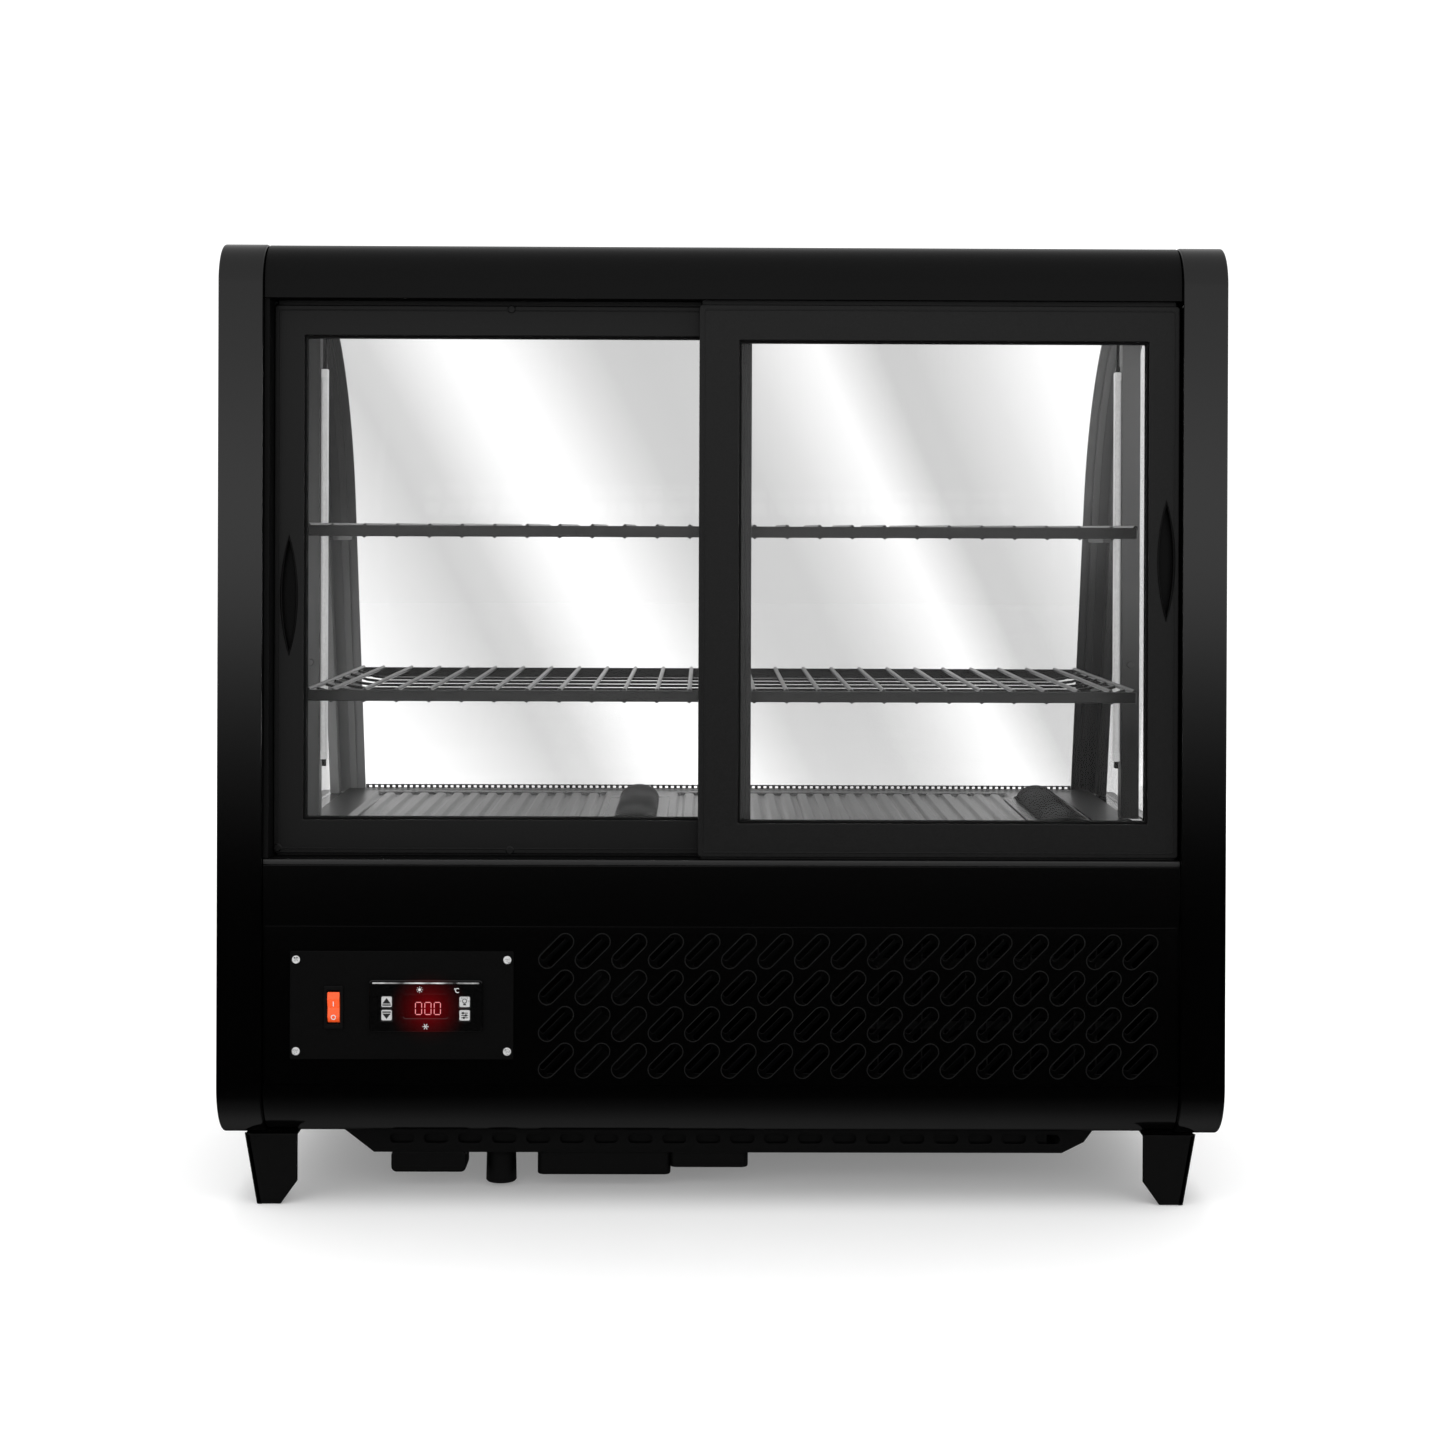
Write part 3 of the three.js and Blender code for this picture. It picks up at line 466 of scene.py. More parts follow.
# ---- cabinet shell ------------------------------------------------------------------------------
def side_frame(side):
    """The cheek: one outline from the floor of the base up the post and along the top."""
    bottom = BASE_BOTTOM + BOTTOM_CORNER
    outline = (
        arc((BOTTOM_CORNER, bottom), BOTTOM_CORNER, 270, 180, 24)
        + arc((TOP_CORNER, HEIGHT - TOP_CORNER), TOP_CORNER, 180, 90, 24)
        + [(TOP_DEPTH, HEIGHT), (TOP_DEPTH, TOP_UNDERSIDE)]
        + arc((POST_DEPTH + 10, TOP_UNDERSIDE - 10), 10, 90, 180, 8)
        + [(POST_DEPTH, REST), (DEPTH - 8, REST), (DEPTH, SILL - 6)]
        + arc((DEPTH - BOTTOM_CORNER, bottom), BOTTOM_CORNER, 0, -90, 24))
    mesh = slab(outline, "x", sided(side, CHEEK_INNER, HALF_WIDTH), 1.6, steps=4)
    fixed(f"{side}_cheek", [mesh], CASE_PAINT, [f"{side}_side_frame"])


def folded(points, thickness):
    """The outline of a folded sheet: its outer line, then the same line inset by its thickness."""
    inner = []
    for i, point in enumerate(points):
        before = Vector(points[max(i - 1, 0)])
        after = Vector(points[min(i + 1, len(points) - 1)])
        along = (after - before).normalized()
        inner.append((point[0] + along.y * thickness, point[1] - along.x * thickness))
    return list(points) + inner[::-1]


def top_panel():
    centre = (RECESS + TOP_CORNER, HEIGHT - TOP_CORNER)
    outer = [(RECESS, TOP_UNDERSIDE)] + arc(centre, TOP_CORNER, 180, 90, 24)
    inner = arc(centre, TOP_CORNER - SHEET, 90, 180, 24) + [(RECESS + SHEET, TOP_UNDERSIDE)]
    far_edge = [(TOP_DEPTH, HEIGHT), (TOP_DEPTH, TOP_UNDERSIDE), (TOP_DEPTH - SHEET, TOP_UNDERSIDE),
                (TOP_DEPTH - SHEET, HEIGHT - SHEET)]
    mesh = slab(outer + far_edge + inner, "x", PANEL_X, 0.3)
    fixed("top_shell", [mesh], TOP_PAINT, ["top_panel"])


def rear_lower_panel():
    """The sheet below the doors, folded over at the sill and round the bottom, with its opening."""
    bottom = BASE_BOTTOM + BOTTOM_CORNER
    window_z = (PANEL_Z[0] + 8, PANEL_Z[1] - 8)
    window_x = PANEL_HALF - 18
    upper = block(PANEL_X, (RECESS, RECESS + SHEET), (PANEL_Z[1] + 0.3, SILL - 4))
    centre = (RECESS + BOTTOM_CORNER, bottom)
    lower = folded([(RECESS, PANEL_Z[0] - 0.3)] + arc(centre, BOTTOM_CORNER, 183, 270, 24)
                   + [(centre[0] + 20, BASE_BOTTOM)], -SHEET)
    inner = (RECESS + SHEET + 0.05, RECESS + 2 * SHEET)
    frame_back = slab(rounded(PANEL_X, (bottom + 2, SILL - 12)), "y", inner, 0.2,
                      [rounded((-window_x, window_x), window_z, 6)])
    meshes = [upper, slab(lower, "x", PANEL_X, 0.3), frame_back]
    fixed("lower_shell", meshes, PANEL_PAINT, ["rear_lower_panel"])
    # The sill ledge along the lower panel's top edge is lighter than the panel: a painted highlight.
    ledge = block(PANEL_X, (RECESS, RECESS + SHEET), (SILL - 3.6, SILL), 0.5)
    fixed("sill_ledge", [ledge], SILL_HIGHLIGHT_PAINT)


def access_panel():
    """The lift-off panel: slanted slots, each split by a rib down its middle, with pressed rims."""
    face, back = RECESS + 0.2, RECESS + SHEET - 0.3
    holes, rims = [], []
    for column in range(SLOT_COLUMNS):
        for row in range(SLOT_ROWS):
            centre = (-115 + SLOT_PITCH * column, 106.7 + SLOT_PITCH * row)
            for offset in (-3.4, 3.4):
                half = [(centre[0] + u, centre[1] + v) for u, v in half_slot(offset, 3.9, 23)]
                holes.append(turned(half, centre, SLOT_TURN))
            rim, cut = (turned(around(*centre, half_x, half_z, radius, 8), centre, SLOT_TURN)
                        for half_x, half_z, radius in ((6.1, 15.1, 6.05), (5.4, 14.4, 5.35)))
            rims.append(slab(rim, "y", (face - 0.5, face + 0.1), 0.2, [cut], 1))
    holes.append(around(SWITCH_X, PLATE_Z, 6, 13))
    holes.append(around(CONTROLLER_X, PLATE_Z, 33.5, 15))
    half = PANEL_HALF - 1.5
    panel = slab(rounded((-half, half), PANEL_Z), "y", (face, back), 0.15, holes, 1)
    fixed("service_grille", [panel], PANEL_PAINT, ["access_panel"])
    # The pressed rims are lighter than the panel they are pressed from: a painted highlight.
    fixed("grille_rims", rims, RIM_HIGHLIGHT_PAINT)


def half_slot(offset, width, length):
    """One of the two long openings either side of the rib, before it is turned."""
    half = width / 2
    return around(offset, 0, half, length / 2, half - 0.05)


def front_base_panel():
    bottom = BASE_BOTTOM + BOTTOM_CORNER
    face = DEPTH - RECESS
    centre = (face - BOTTOM_CORNER, bottom)
    outline = (
        [(face, REST), (face - 32, REST), (face - 32, REST - SHEET), (face - SHEET, REST - SHEET)]
        + arc(centre, BOTTOM_CORNER - SHEET, 0, -90, 24)
        + [(centre[0] - 20, BASE_BOTTOM + SHEET), (centre[0] - 20, BASE_BOTTOM)]
        + arc(centre, BOTTOM_CORNER, -90, 0, 24))
    mesh = slab(outline, "x", PANEL_X, 0.3)
    fixed("front_shell", [mesh], CASE_PAINT, ["front_base_panel"])


# ---- glazing ------------------------------------------------------------------------------------
def front_curve(inset, end_depth, steps=40):
    """The front pane's side view at a distance inwards: a leaning line, then an arc over the top."""
    radius = (HEIGHT - 3 - GLASS_BEND_Z) / (1 - math.sin(GLASS_LEAN))
    start = GLASS_FOOT - math.tan(GLASS_LEAN) * (GLASS_BEND_Z - GLASS_FOOT_Z)
    centre = (start - radius * math.cos(GLASS_LEAN), GLASS_BEND_Z - radius * math.sin(GLASS_LEAN))
    foot = (GLASS_FOOT - inset / math.cos(GLASS_LEAN), GLASS_FOOT_Z)
    last = math.degrees(math.acos((end_depth - centre[0]) / (radius - inset)))
    return [foot] + arc(centre, radius - inset, math.degrees(GLASS_LEAN), last, steps)


def glass_band(from_inset, to_inset, end_depth=TOP_DEPTH + 0.3):
    return front_curve(from_inset, end_depth) + front_curve(to_inset, end_depth)[::-1]


def front_glass():
    mesh = slab(glass_band(0, GLASS_THICKNESS), "x", (-GLASS_HALF, GLASS_HALF), 0.6)
    fixed("curved_pane", [mesh], FRONT_GLASS, ["front_glass"])


def side_glass(side):
    outline = (
        [(POST_DEPTH + 0.3, GLASS_FOOT_Z)]
        + front_curve(GLASS_THICKNESS + 0.3, TOP_DEPTH + 0.3)
        + [(TOP_DEPTH + 0.3, TOP_UNDERSIDE - 0.3), (POST_DEPTH + 11, TOP_UNDERSIDE - 0.3),
           (POST_DEPTH + 0.3, TOP_UNDERSIDE - 11)])
    mesh = slab(outline, "x", sided(side, GLASS_HALF - GLASS_THICKNESS, GLASS_HALF), 0.6)
    fixed(f"{side}_pane", [mesh], SIDE_GLASS, [f"{side}_side_glass"])


def front_pillar(side):
    """The moulding inside the front pane: a face, a raised outer rib and a fine inner bead."""
    inset = GLASS_THICKNESS + 0.3
    outer = GLASS_HALF - GLASS_THICKNESS - 0.3
    face = slab(glass_band(inset, inset + 3), "x", sided(side, 305, outer), 0.5)
    rib = slab(glass_band(inset, inset + 16), "x", sided(side, outer - 8, outer), 0.8)
    bead = slab(glass_band(inset, inset + 5), "x", sided(side, 311.5, 318), 1.0)
    fixed(f"{side}_pillar", [face, rib, bead], PILLAR_REFLECTION_PAINT[side],
          [f"{side}_front_pillar"])


# The pillars' greys grow darker or lighter with height, reversed from left to right: painted reflection of
# the door glass.
PILLAR_REFLECTION_PAINT = {
    "left": painted_reflection_gradient("left_pillar_painted_reflection", [(275, 148), (336, 136), (421, 108), (504, 60), (586, 46)]),
    "right": painted_reflection_gradient("right_pillar_painted_reflection", [(275, 24), (336, 20), (421, 50), (504, 114), (586, 123)]),
}


# ---- sliding doors ------------------------------------------------------------------------------
def tracks():
    for name, z, groove in (("upper", (TOP_UNDERSIDE, TOP_UNDERSIDE + 14), (635, 646)),
                            ("lower", (SILL - 12, SILL), (SILL - 6.2, SILL + 1))):
        start = RECESS + SHEET + 0.3
        end = start + 34.7
        edges = [start]
        for door in ("right", "left"):
            middle = DOORS[door]["face"] + DOOR_THICKNESS / 2
            edges += [middle - 2.5, middle + 2.5]
        edges.append(end)
        floor = (groove[1], z[1]) if name == "upper" else (z[0], groove[0])
        walls = [slab(rounded((low, high), z), "x", PANEL_X, 0.4)
                 for low, high in zip(edges[::2], edges[1::2])]
        walls.append(slab(rounded((start + 0.5, end - 0.5), floor), "x",
                          (-PANEL_HALF + 0.1, PANEL_HALF - 0.1), 0.2))
        fixed(f"{name}_rail", walls, BLACK_PLASTIC, [f"{name}_track"])


def door(side):
    """A moulded frame with a stepped inner edge, glazing gasket, finger pull and corner plugs."""
    spec = DOORS[side]
    x = (spec["x"], spec["x"] + DOOR_WIDTH)
    face, back = spec["face"], spec["face"] + DOOR_THICKNESS
    opening_x = (x[0] + spec["stiles"][0], x[1] - spec["stiles"][1])
    opening_z = (DOOR_Z[0] + spec["rails"][0], DOOR_Z[1] - spec["rails"][1])
    pull = lens(spec["pull"], 11, 82)
    outline = rounded(x, DOOR_Z, 2.5)
    opening = rounded(opening_x, opening_z, 0.8, 3)
    middle = (face + back) / 2
    body = slab(outline, "y", (face, middle), 0.8, [opening, pull], 3)
    rear = slab(outline, "y", (middle + 0.02, back), 0.8, [opening])
    tongues = [block((x[0] + 2, x[1] - 2), (middle - 1.8, middle + 1.8), z)
               for z in ((DOOR_Z[0] - 6.5, DOOR_Z[0] + 1), (DOOR_Z[1] - 1, DOOR_Z[1] + 8.5))]
    piece(f"{side}_door_moulding", [body, rear, *tongues], DOOR_PLASTIC, f"{side}_door",
          [f"{side}_door_frame"])
    inner = inset(opening_x, opening_z, 1.6, 1, 3)
    seals = [slab(opening, "y", depth, 0.5, [inner])
             for depth in ((middle - 4.2, middle - 2.1), (middle + 2.1, middle + 4.2))]
    piece(f"{side}_door_seal", seals, GASKET, f"{side}_door")
    pane = slab(inset(opening_x, opening_z, 0.3), "y", (middle - 2, middle + 2), 0.3)
    piece(f"{side}_door_pane", [pane], DOOR_GLASS, f"{side}_door", [f"{side}_door_glass"])
    finger_pull(side, spec["pull"], face)
    door_details(side, x, face)


def jambs():
    """Matt liners on the cheeks' inner faces, where the doors' edges close."""
    for side, near in (("left", 7), ("right", 22)):
        x = sided(side, CHEEK_INNER - 3.6, CHEEK_INNER - 0.05)
        liner = block(x, (near, 60), (SILL + 0.2, TOP_UNDERSIDE - 0.2), 0.4)
        fin_x = sided(side, CHEEK_INNER - 12, CHEEK_INNER - 0.05)
        fin = block(fin_x, (44, 46), (SILL + 8, TOP_UNDERSIDE - 1), 0.4)
        fixed(f"{side}_jamb", [liner, fin], GASKET)


def lens(centre, width, height, inset=0.0, steps=14):
    """The pointed oval of a finger pull."""
    half, breadth = height / 2 - inset, width - 2 * inset
    radius = (half * half + (breadth / 2) ** 2) / breadth
    swing = math.degrees(math.asin(half / radius))
    offset = radius - breadth / 2
    right = arc((centre[0] - offset, centre[1]), radius, -swing, swing, steps)
    left = arc((centre[0] + offset, centre[1]), radius, 180 - swing, 180 + swing, steps)
    return right + left[1:-1]


def finger_pull(side, centre, face):
    """A cup set in the pull's opening, with a rolled lip that stands slightly proud."""
    cup = slab(lens(centre, 11, 82), "y", (face + 5.0, face + 5.9), 0.3)
    lip = slab(lens(centre, 12.6, 85), "y", (face - 0.9, face + 0.6), 0.6, [lens(centre, 9.4, 78)], 3)
    piece(f"{side}_finger_cup", [cup, lip], BLACK_PLASTIC, f"{side}_door")


def door_details(side, x, face):
    """The plugs that close the screw holes, and the fine raised edge round the moulding."""
    bead = slab(inset(x, DOOR_Z, 3.2, 2), "y", (face - 0.35, face + 0.3), 0.25,
                [inset(x, DOOR_Z, 4.1, 1.6)])
    meshes = [bead]
    if side == "left":
        plugs = ((x[0] + 166, DOOR_Z[1] - 2.6), (x[0] + 166, DOOR_Z[0] + 2.6), (x[0] + 3, DOOR_Z[0] + 4))
        meshes += [lathe([(0, -1.2), (2.2, -1.2), (2.9, -0.6), (2.9, 0.4), (0, 0.4)],
                         (px, face, pz), "y", 20) for px, pz in plugs]
    piece(f"{side}_door_trim", meshes, DOOR_PLASTIC, f"{side}_door")


# ---- inside the display space -------------------------------------------------------------------
RIB_PITCH = 13.9
PANELS = ((-290, -95), (-36, 245))  # the two ribbed fields of the deck, across the width
FIELD_DEPTH = (70, 392)


def deck_height(x, depth):
    """Height of the deck above its flat level: sunk fields with raised, round-ended ribs."""
    for low, high in PANELS:
        edge = min(x - low, high - x, depth - FIELD_DEPTH[0], FIELD_DEPTH[1] - depth)
        if edge > 0:
            floor = -2.6 * smooth(edge / 2.5)
            count = round((high - low - 8) / RIB_PITCH)
            pitch = (high - low - 8) / count
            across = (x - low - 4) % pitch - pitch / 2
            end = max(FIELD_DEPTH[0] + 9 - depth, depth - (FIELD_DEPTH[1] - 9), 0)
            away = math.hypot(across, end)
            rib = 2.4 * smooth((4.9 - away) / 1.5)
            if not (low + 4 < x < high - 4):
                rib = 0
            return floor + rib
    return 0


def smooth(value):
    """0 below 0, 1 above 1, and a soft step between."""
    value = max(0, min(1, value))
    return value * value * (3 - 2 * value)


def spaced(low, high, step):
    count = max(1, round((high - low) / step))
    return [low + (high - low) * i / count for i in range(count + 1)]


def deck():
    half = PANEL_HALF
    xs = spaced(-half, half, 1.15)
    depths = (spaced(DECK_DEPTH[0], 64, 5) + spaced(66, 90, 1.2) + spaced(95, 370, 12)
              + spaced(372, 394, 1.1) + spaced(396, DECK_DEPTH[1], 4))
    top = sheet(xs, depths, lambda x, depth: (x, depth, DECK_Z + deck_height(x, depth)), SHEET)
    folds = [block((-half, half), (DECK_DEPTH[0], DECK_DEPTH[0] + SHEET), (SILL + 0.3, DECK_Z - 0.6)),
             block((-half, half), (DECK_DEPTH[1] - SHEET, DECK_DEPTH[1]), (REST + 0.3, DECK_Z - 0.6))]
    fixed("deck", [top, *folds], DECK_STEEL, ["deck_plate"], 60)
    slots = [around(x, DECK_Z + 1.9, 1.3, 1.0, 0.4, 2) for x in spaced(-300, 300, 5)]
    strip = slab(rounded((-304, 304), (DECK_Z + 0.2, DECK_Z + 3.8)), "y",
                 (DECK_DEPTH[1] - 1.6, DECK_DEPTH[1] - 0.6), 0.1, slots, 1)
    fixed("deck_air_strip", [strip], DECK_STEEL)
    bumper = slab([(DECK_DEPTH[0] - 1, DECK_Z + 0.1), (DECK_DEPTH[0] - 1, DECK_Z + 3)]
                  + [(DECK_DEPTH[0] + 2, DECK_Z + 3), (DECK_DEPTH[0] + 5, DECK_Z + 0.1)], "x",
                  (-half, half), 0.3)
    fixed("deck_sill_trim", [bumper], DECK_STEEL)


def louvre(name, middle):
    """An arched air cover with ribs across it and tapered ends."""
    depths = spaced(125, 345, 1.75)
    angles = spaced(0, 180, 7.5)

    def point(angle, depth):
        end = smooth(min(depth - 125, 345 - depth) / 9)
        rib = 0.5 + 0.5 * math.cos(2 * math.pi * (depth - 125) / 13.75)
        lift = (9.8 + 2.1 * rib ** 2) * (0.25 + 0.75 * end)
        spread = 14.4 + 1.8 * rib ** 2
        turn = math.radians(180 - angle)
        return (middle + spread * math.cos(turn), depth, DECK_Z + 1.4 + lift * math.sin(turn))

    mesh = sheet(angles, depths, point, 1.1)
    flange = slab(rounded((middle - 25, middle + 25), (121, 349), 6), "z", (DECK_Z + 0.1, DECK_Z + 1.0),
                  0.2, [rounded((middle - 13, middle + 13), (130, 340), 4)])
    fixed(f"{name}_air_cover", [mesh, flange], LOUVRE_PLASTIC,
          [f"{name}_louvre"], 50)


def shelf_post(side):
    """A folded channel with a locating peg, that carries the shelf brackets."""
    x = sided(side, *POST_X)
    middle = sum(x) / 2
    z = (DECK_Z + 0.3, POST_TOP)
    face = block(x, (POST_Y[0], POST_Y[0] + 2), z, 0.4)
    walls = [block(wall, (POST_Y[0] + 1.6, POST_Y[1]), z, 0.4)
             for wall in ((x[0], x[0] + 2), (x[1] - 2, x[1]))]
    peg = lathe([(0, -2.2), (2.2, -2.2), (2.8, -1.4), (2.8, 0.4), (0, 0.4)],
                (middle, POST_Y[0], 372), "y", 20)
    fixed(f"{side}_post", [face, *walls, peg], POST_REFLECTION_PAINT[side],
          [f"{side}_shelf_post"])


# The posts' and brackets' greys change with height, reversed from left to right: painted reflection of the
# door glass.
POST_REFLECTION_PAINT = {
    "left": painted_reflection_gradient("left_post_painted_reflection", [(316, 90), (425, 93), (580, 60)]),
    "right": painted_reflection_gradient("right_post_painted_reflection", [(316, 28), (425, 88), (580, 116)]),
}


def light_strip(side):
    """A frosted tube in a channel, with end caps and their connectors."""
    x = sided(side, POST_X[0] - 5.6, POST_X[0] - 0.3)
    y = (POST_Y[0] + 2, POST_Y[1] - 4)
    diffuser = slab(rounded(x, y, 2.2, 6), "z", (302, 594), 0.5)
    fixed(f"{side}_light", [diffuser], DIFFUSER, [f"{side}_light_strip"])
    caps = [slab(rounded(x, (y[0] - 0.6, y[1]), 1.6, 4), "z", z, 0.5) for z in ((296.5, 303), (593, 599.5))]
    sockets = [block((x[0] + 1.2, x[1] - 1), (y[0] + 2, y[1] - 2), z, 0.4)
               for z in ((291, 297), (599, 604))]
    wires = rods([[(x[0] + 3, y[0] + 6, 603), (x[0] + 3, y[0] + 6, 614), (x[0] + 4, y[0] + 7, 630)]], 1.1)
    fixed(f"{side}_light_caps", caps, DIFFUSER)
    fixed(f"{side}_light_fittings", [*sockets, wires], BLACK_PLASTIC)


def wire_shelf(name):
    """Rods from front to back over lengthwise wires, between flat lips and raised end rails."""
    top, end = SHELVES[name]
    half = SHELF_HALF
    lips = [slab(rounded((-half + 1, half - 1), (top - 9.8, top - 1.6), 1.2, 3), "y", depth, 0.7)
            for depth in ((SHELF_START, SHELF_START + 2.6), (end - 2.6, end))]
    dips = []
    for depth in spaced(125, end - 42, 43):
        sag = [(-half + 2, top - 2.2), (-half + 8, top - 4), (-half + 17, top - 7), (-half + 30, top - 8.6)]
        path = [(x, depth, z) for x, z in sag] + [(-x, depth, z) for x, z in sag[::-1]]
        dips.append(path)
    lengthwise = rods(dips, 1.15)
    ends = rods([[(x, SHELF_START + 1.3, top - 1.9), (x, end - 1.3, top - 1.9)]
                 for x in (-half + 2, half - 2)], 1.9)
    crossing = []
    for x in spaced(-half + 19, half - 19, 24.2):
        z = top - 1.75
        crossing.append([(x, end - 1, z), (x, SHELF_START + 5.2, z), (x, SHELF_START + 4.4, z - 0.5),
                         (x, SHELF_START + 4.2, z - 1.5), (x, SHELF_START + 4.2, z - 6.4),
                         (x, SHELF_START + 3.6, z - 7.3), (x, SHELF_START + 1.4, z - 7.4)])
    across = rods(crossing, 1.65)
    fixed(f"{name}_rack", [*lips, lengthwise, ends, across], WIRE,
          [f"{name}_shelf"], 50)


def bracket(side, level):
    """A pressed arm with a heel hooked in the post and a rounded gusset between them."""
    z = SHELVES[level][0] - 10.3
    x = sided(side, POST_X[0] + 1, POST_X[1] - 1)
    reach = sided(side, POST_X[0] - 12, POST_X[1] - 1)
    web = sided(side, POST_X[0] + 5.5, POST_X[1] - 5.5)
    start = POST_Y[1] + 0.3
    arm = slab(rounded(reach, (start, 300), 3, 4), "z", (z - 3, z), 0.5)
    heel = block(x, (start, start + 3), (z - 26, z - 2.5), 0.5)
    curve = arc((start + 46, z - 28), 24, 90, 180, 10)
    gusset = slab([(start + 44, z - 1), (start + 2, z - 1), (start + 2, z - 25)]
                  + [(depth - 8, height + 0.5) for depth, height in curve[::-1][1:-1]], "x", web, 0.4)
    fixed(f"{side}_{level}_arm", [arm, heel, gusset], POST_REFLECTION_PAINT[side],
          [f"{side}_{level}_bracket"])


# ---- controls -----------------------------------------------------------------------------------
def control_plate():
    outline = around(PLATE_X, PLATE_Z, 77.5, 37.5, 1.2, 4)
    holes = [around(SWITCH_X, PLATE_Z, 5.4, 12), around(CONTROLLER_X, PLATE_Z, 33.4, 14.6)]
    plate = slab(outline, "y", (PLATE_FACE, RECESS), 0.35, holes)
    fixed("control_cover", [plate], PLATE_PLASTIC, ["control_plate"])


def cross_screw(number, dx, dz):
    """A pan-head screw: a domed head with a cross recess cut in it."""
    x, z = PLATE_X + dx * 73.2, PLATE_Z + dz * 31.8
    angle = 20 + 31 * number
    arm, width = 1.55, 0.34
    cross = [(-width, -arm), (width, -arm), (width, -width), (arm, -width), (arm, width),
             (width, width), (width, arm), (-width, arm), (-width, width), (-arm, width),
             (-arm, -width), (-width, -width)]
    recess = turned([(x + u, z + v) for u, v in cross], (x, z), angle)
    low = PLATE_FACE - 0.3
    head = slab(circle((x, z), 2.8), "y", (low - 1.2, low), 0.55, [recess], 4)
    washer = slab(circle((x, z), 2.6), "y", (low - 0.35, low - 0.02), 0.1)
    fixed(f"cross_screw_{number}", [head, washer], SCREW_STEEL,
          [f"plate_screw_{number}"])


def power_switch():
    outer = around(SWITCH_X, SWITCH_Z, 6.7, 15, 1.2, 4)
    well = around(SWITCH_X, SWITCH_Z, 4.6, 11.8, 0.5, 3)
    bezel = slab(outer, "y", (PLATE_FACE - 1.5, PLATE_FACE - 0.3), 0.45, [well], 3)
    tube = slab(around(SWITCH_X, SWITCH_Z, 5.1, 12.2, 0.6, 3), "y", (PLATE_FACE - 0.6, 24), 0.2,
                [around(SWITCH_X, SWITCH_Z, 4.65, 11.85, 0.4, 3)])
    fixed("switch_surround", [bezel, tube], BLACK_PLASTIC, ["switch_bezel"])
    pivot = (PLATE_FACE - 1.5 + 3, SWITCH_Z)
    face = [(-1.6, 10.9), (-3.6, 6.4), (-3.1, 3.4), (-2.3, 0), (-3.1, -3.4), (-3.6, -6.4), (-1.6, -10.9)]
    side_view = face + [(0.6, -8), (1.6, 0), (0.6, 8)]
    outline = turned([(pivot[0] + u, pivot[1] + v) for u, v in side_view], pivot, ROCKER_TILT)
    body = slab(outline, "x", (SWITCH_X - 4.2, SWITCH_X + 4.2), 0.35, steps=3)
    piece("rocker_cap", [body], ROCKER_RED, "rocker_switch", ["rocker"], 18)
    bar = sloped_mark(around(SWITCH_X, SWITCH_Z + 3.2, 0.28, 1.9), pivot, -3.2)
    ring = sloped_mark(circle((SWITCH_X, SWITCH_Z - 6.4), 1.75), pivot, -3.62,
                       [circle((SWITCH_X, SWITCH_Z - 6.4), 1.2)])
    piece("rocker_marks", [bar, ring], INK, "rocker_switch")


def sloped_mark(outline, pivot, depth, holes=()):
    """A printed mark that lies on the tilted rocker."""
    mesh = mark(outline, (pivot[0] + depth - 0.12, pivot[0] + depth + 0.5), holes, 0.04)
    centre = to_world(SWITCH_X, *pivot, "z")
    turn = Matrix.Rotation(math.radians(ROCKER_TILT), 4, "X")
    mesh.transform(Matrix.Translation(centre) @ turn @ Matrix.Translation(-centre))
    return mesh


SEGMENTS = (  # the six bars of a seven-segment nought, as (across, up, upright)
    (0, 1, False), (0, -1, False), (-1, 0.5, True), (1, 0.5, True), (-1, -0.5, True), (1, -0.5, True),
)


def digit(x, z, half_width=2.15, half_height=4.2, bar=0.27):
    """A lit nought made of six separate bars."""
    meshes = []
    for across, up, upright in SEGMENTS:
        cx, cz = x + across * half_width, z + up * half_height
        reach = (half_height / 2 if upright else half_width) - 0.3
        outline = [(-bar, -reach + bar), (0, -reach), (bar, -reach + bar), (bar, reach - bar),
                   (0, reach), (-bar, reach - bar)]
        if not upright:
            outline = [(v, u) for u, v in outline]
        meshes.append(mark([(cx + u, cz + v) for u, v in outline], (0.86, 0.96)))
    return meshes


def controller():
    bezel_holes = [around(CONTROLLER_X, PLATE_Z, 15, 8.2, 1)]
    bezel_holes += [around(x, z, 3.9, 3.9, 0.9, 4) for x, z in KEYS.values()]
    bezel = slab(around(CONTROLLER_X, PLATE_Z, 39.2, 18, 2.2), "y", (0.8, PLATE_FACE - 0.3), 0.7,
                 bezel_holes, 4)
    backing = slab(around(CONTROLLER_X, PLATE_Z, 33, 14.2), "y", (3.0, 60), 0.5)
    shelf = slab(around(CONTROLLER_X, PLATE_Z, 20, 12.5), "y", (1.75, 3.1), 0.1)
    # A thin bright strip along the bezel's top edge: a painted highlight.
    highlight_strip = slab(around(CONTROLLER_X, PLATE_Z + 15.9, 37, 0.5, 0.45, 4), "y", (0.74, 0.95), 0.08)
    fixed("thermostat_painted_highlight", [highlight_strip], PAINTED_EDGE_HIGHLIGHT)
    fixed("thermostat_body", [bezel, backing, shelf], GLOSS_PLASTIC,
          ["controller_housing"])
    lens_mesh = slab(around(CONTROLLER_X, PLATE_Z, 14.9, 8.1, 0.8, 4), "y", (0.94, 1.5), 0.05)
    fixed("thermostat_screen", [lens_mesh], SCREEN, ["display_window"])
    digits = [mesh for x in (-6.5, 0, 6.5) for mesh in digit(GLOW_X + x, GLOW_Z)]
    fixed("thermostat_digits", digits, DIGIT_RED)
    for name, (x, z) in KEYS.items():
        key(name, x, z)
    controller_marks()


def mark(outline, depth, holes=(), bevel=0.03):
    """A thin printed or lit mark over a range of depth."""
    return slab(outline, "y", depth, bevel, holes, 1)


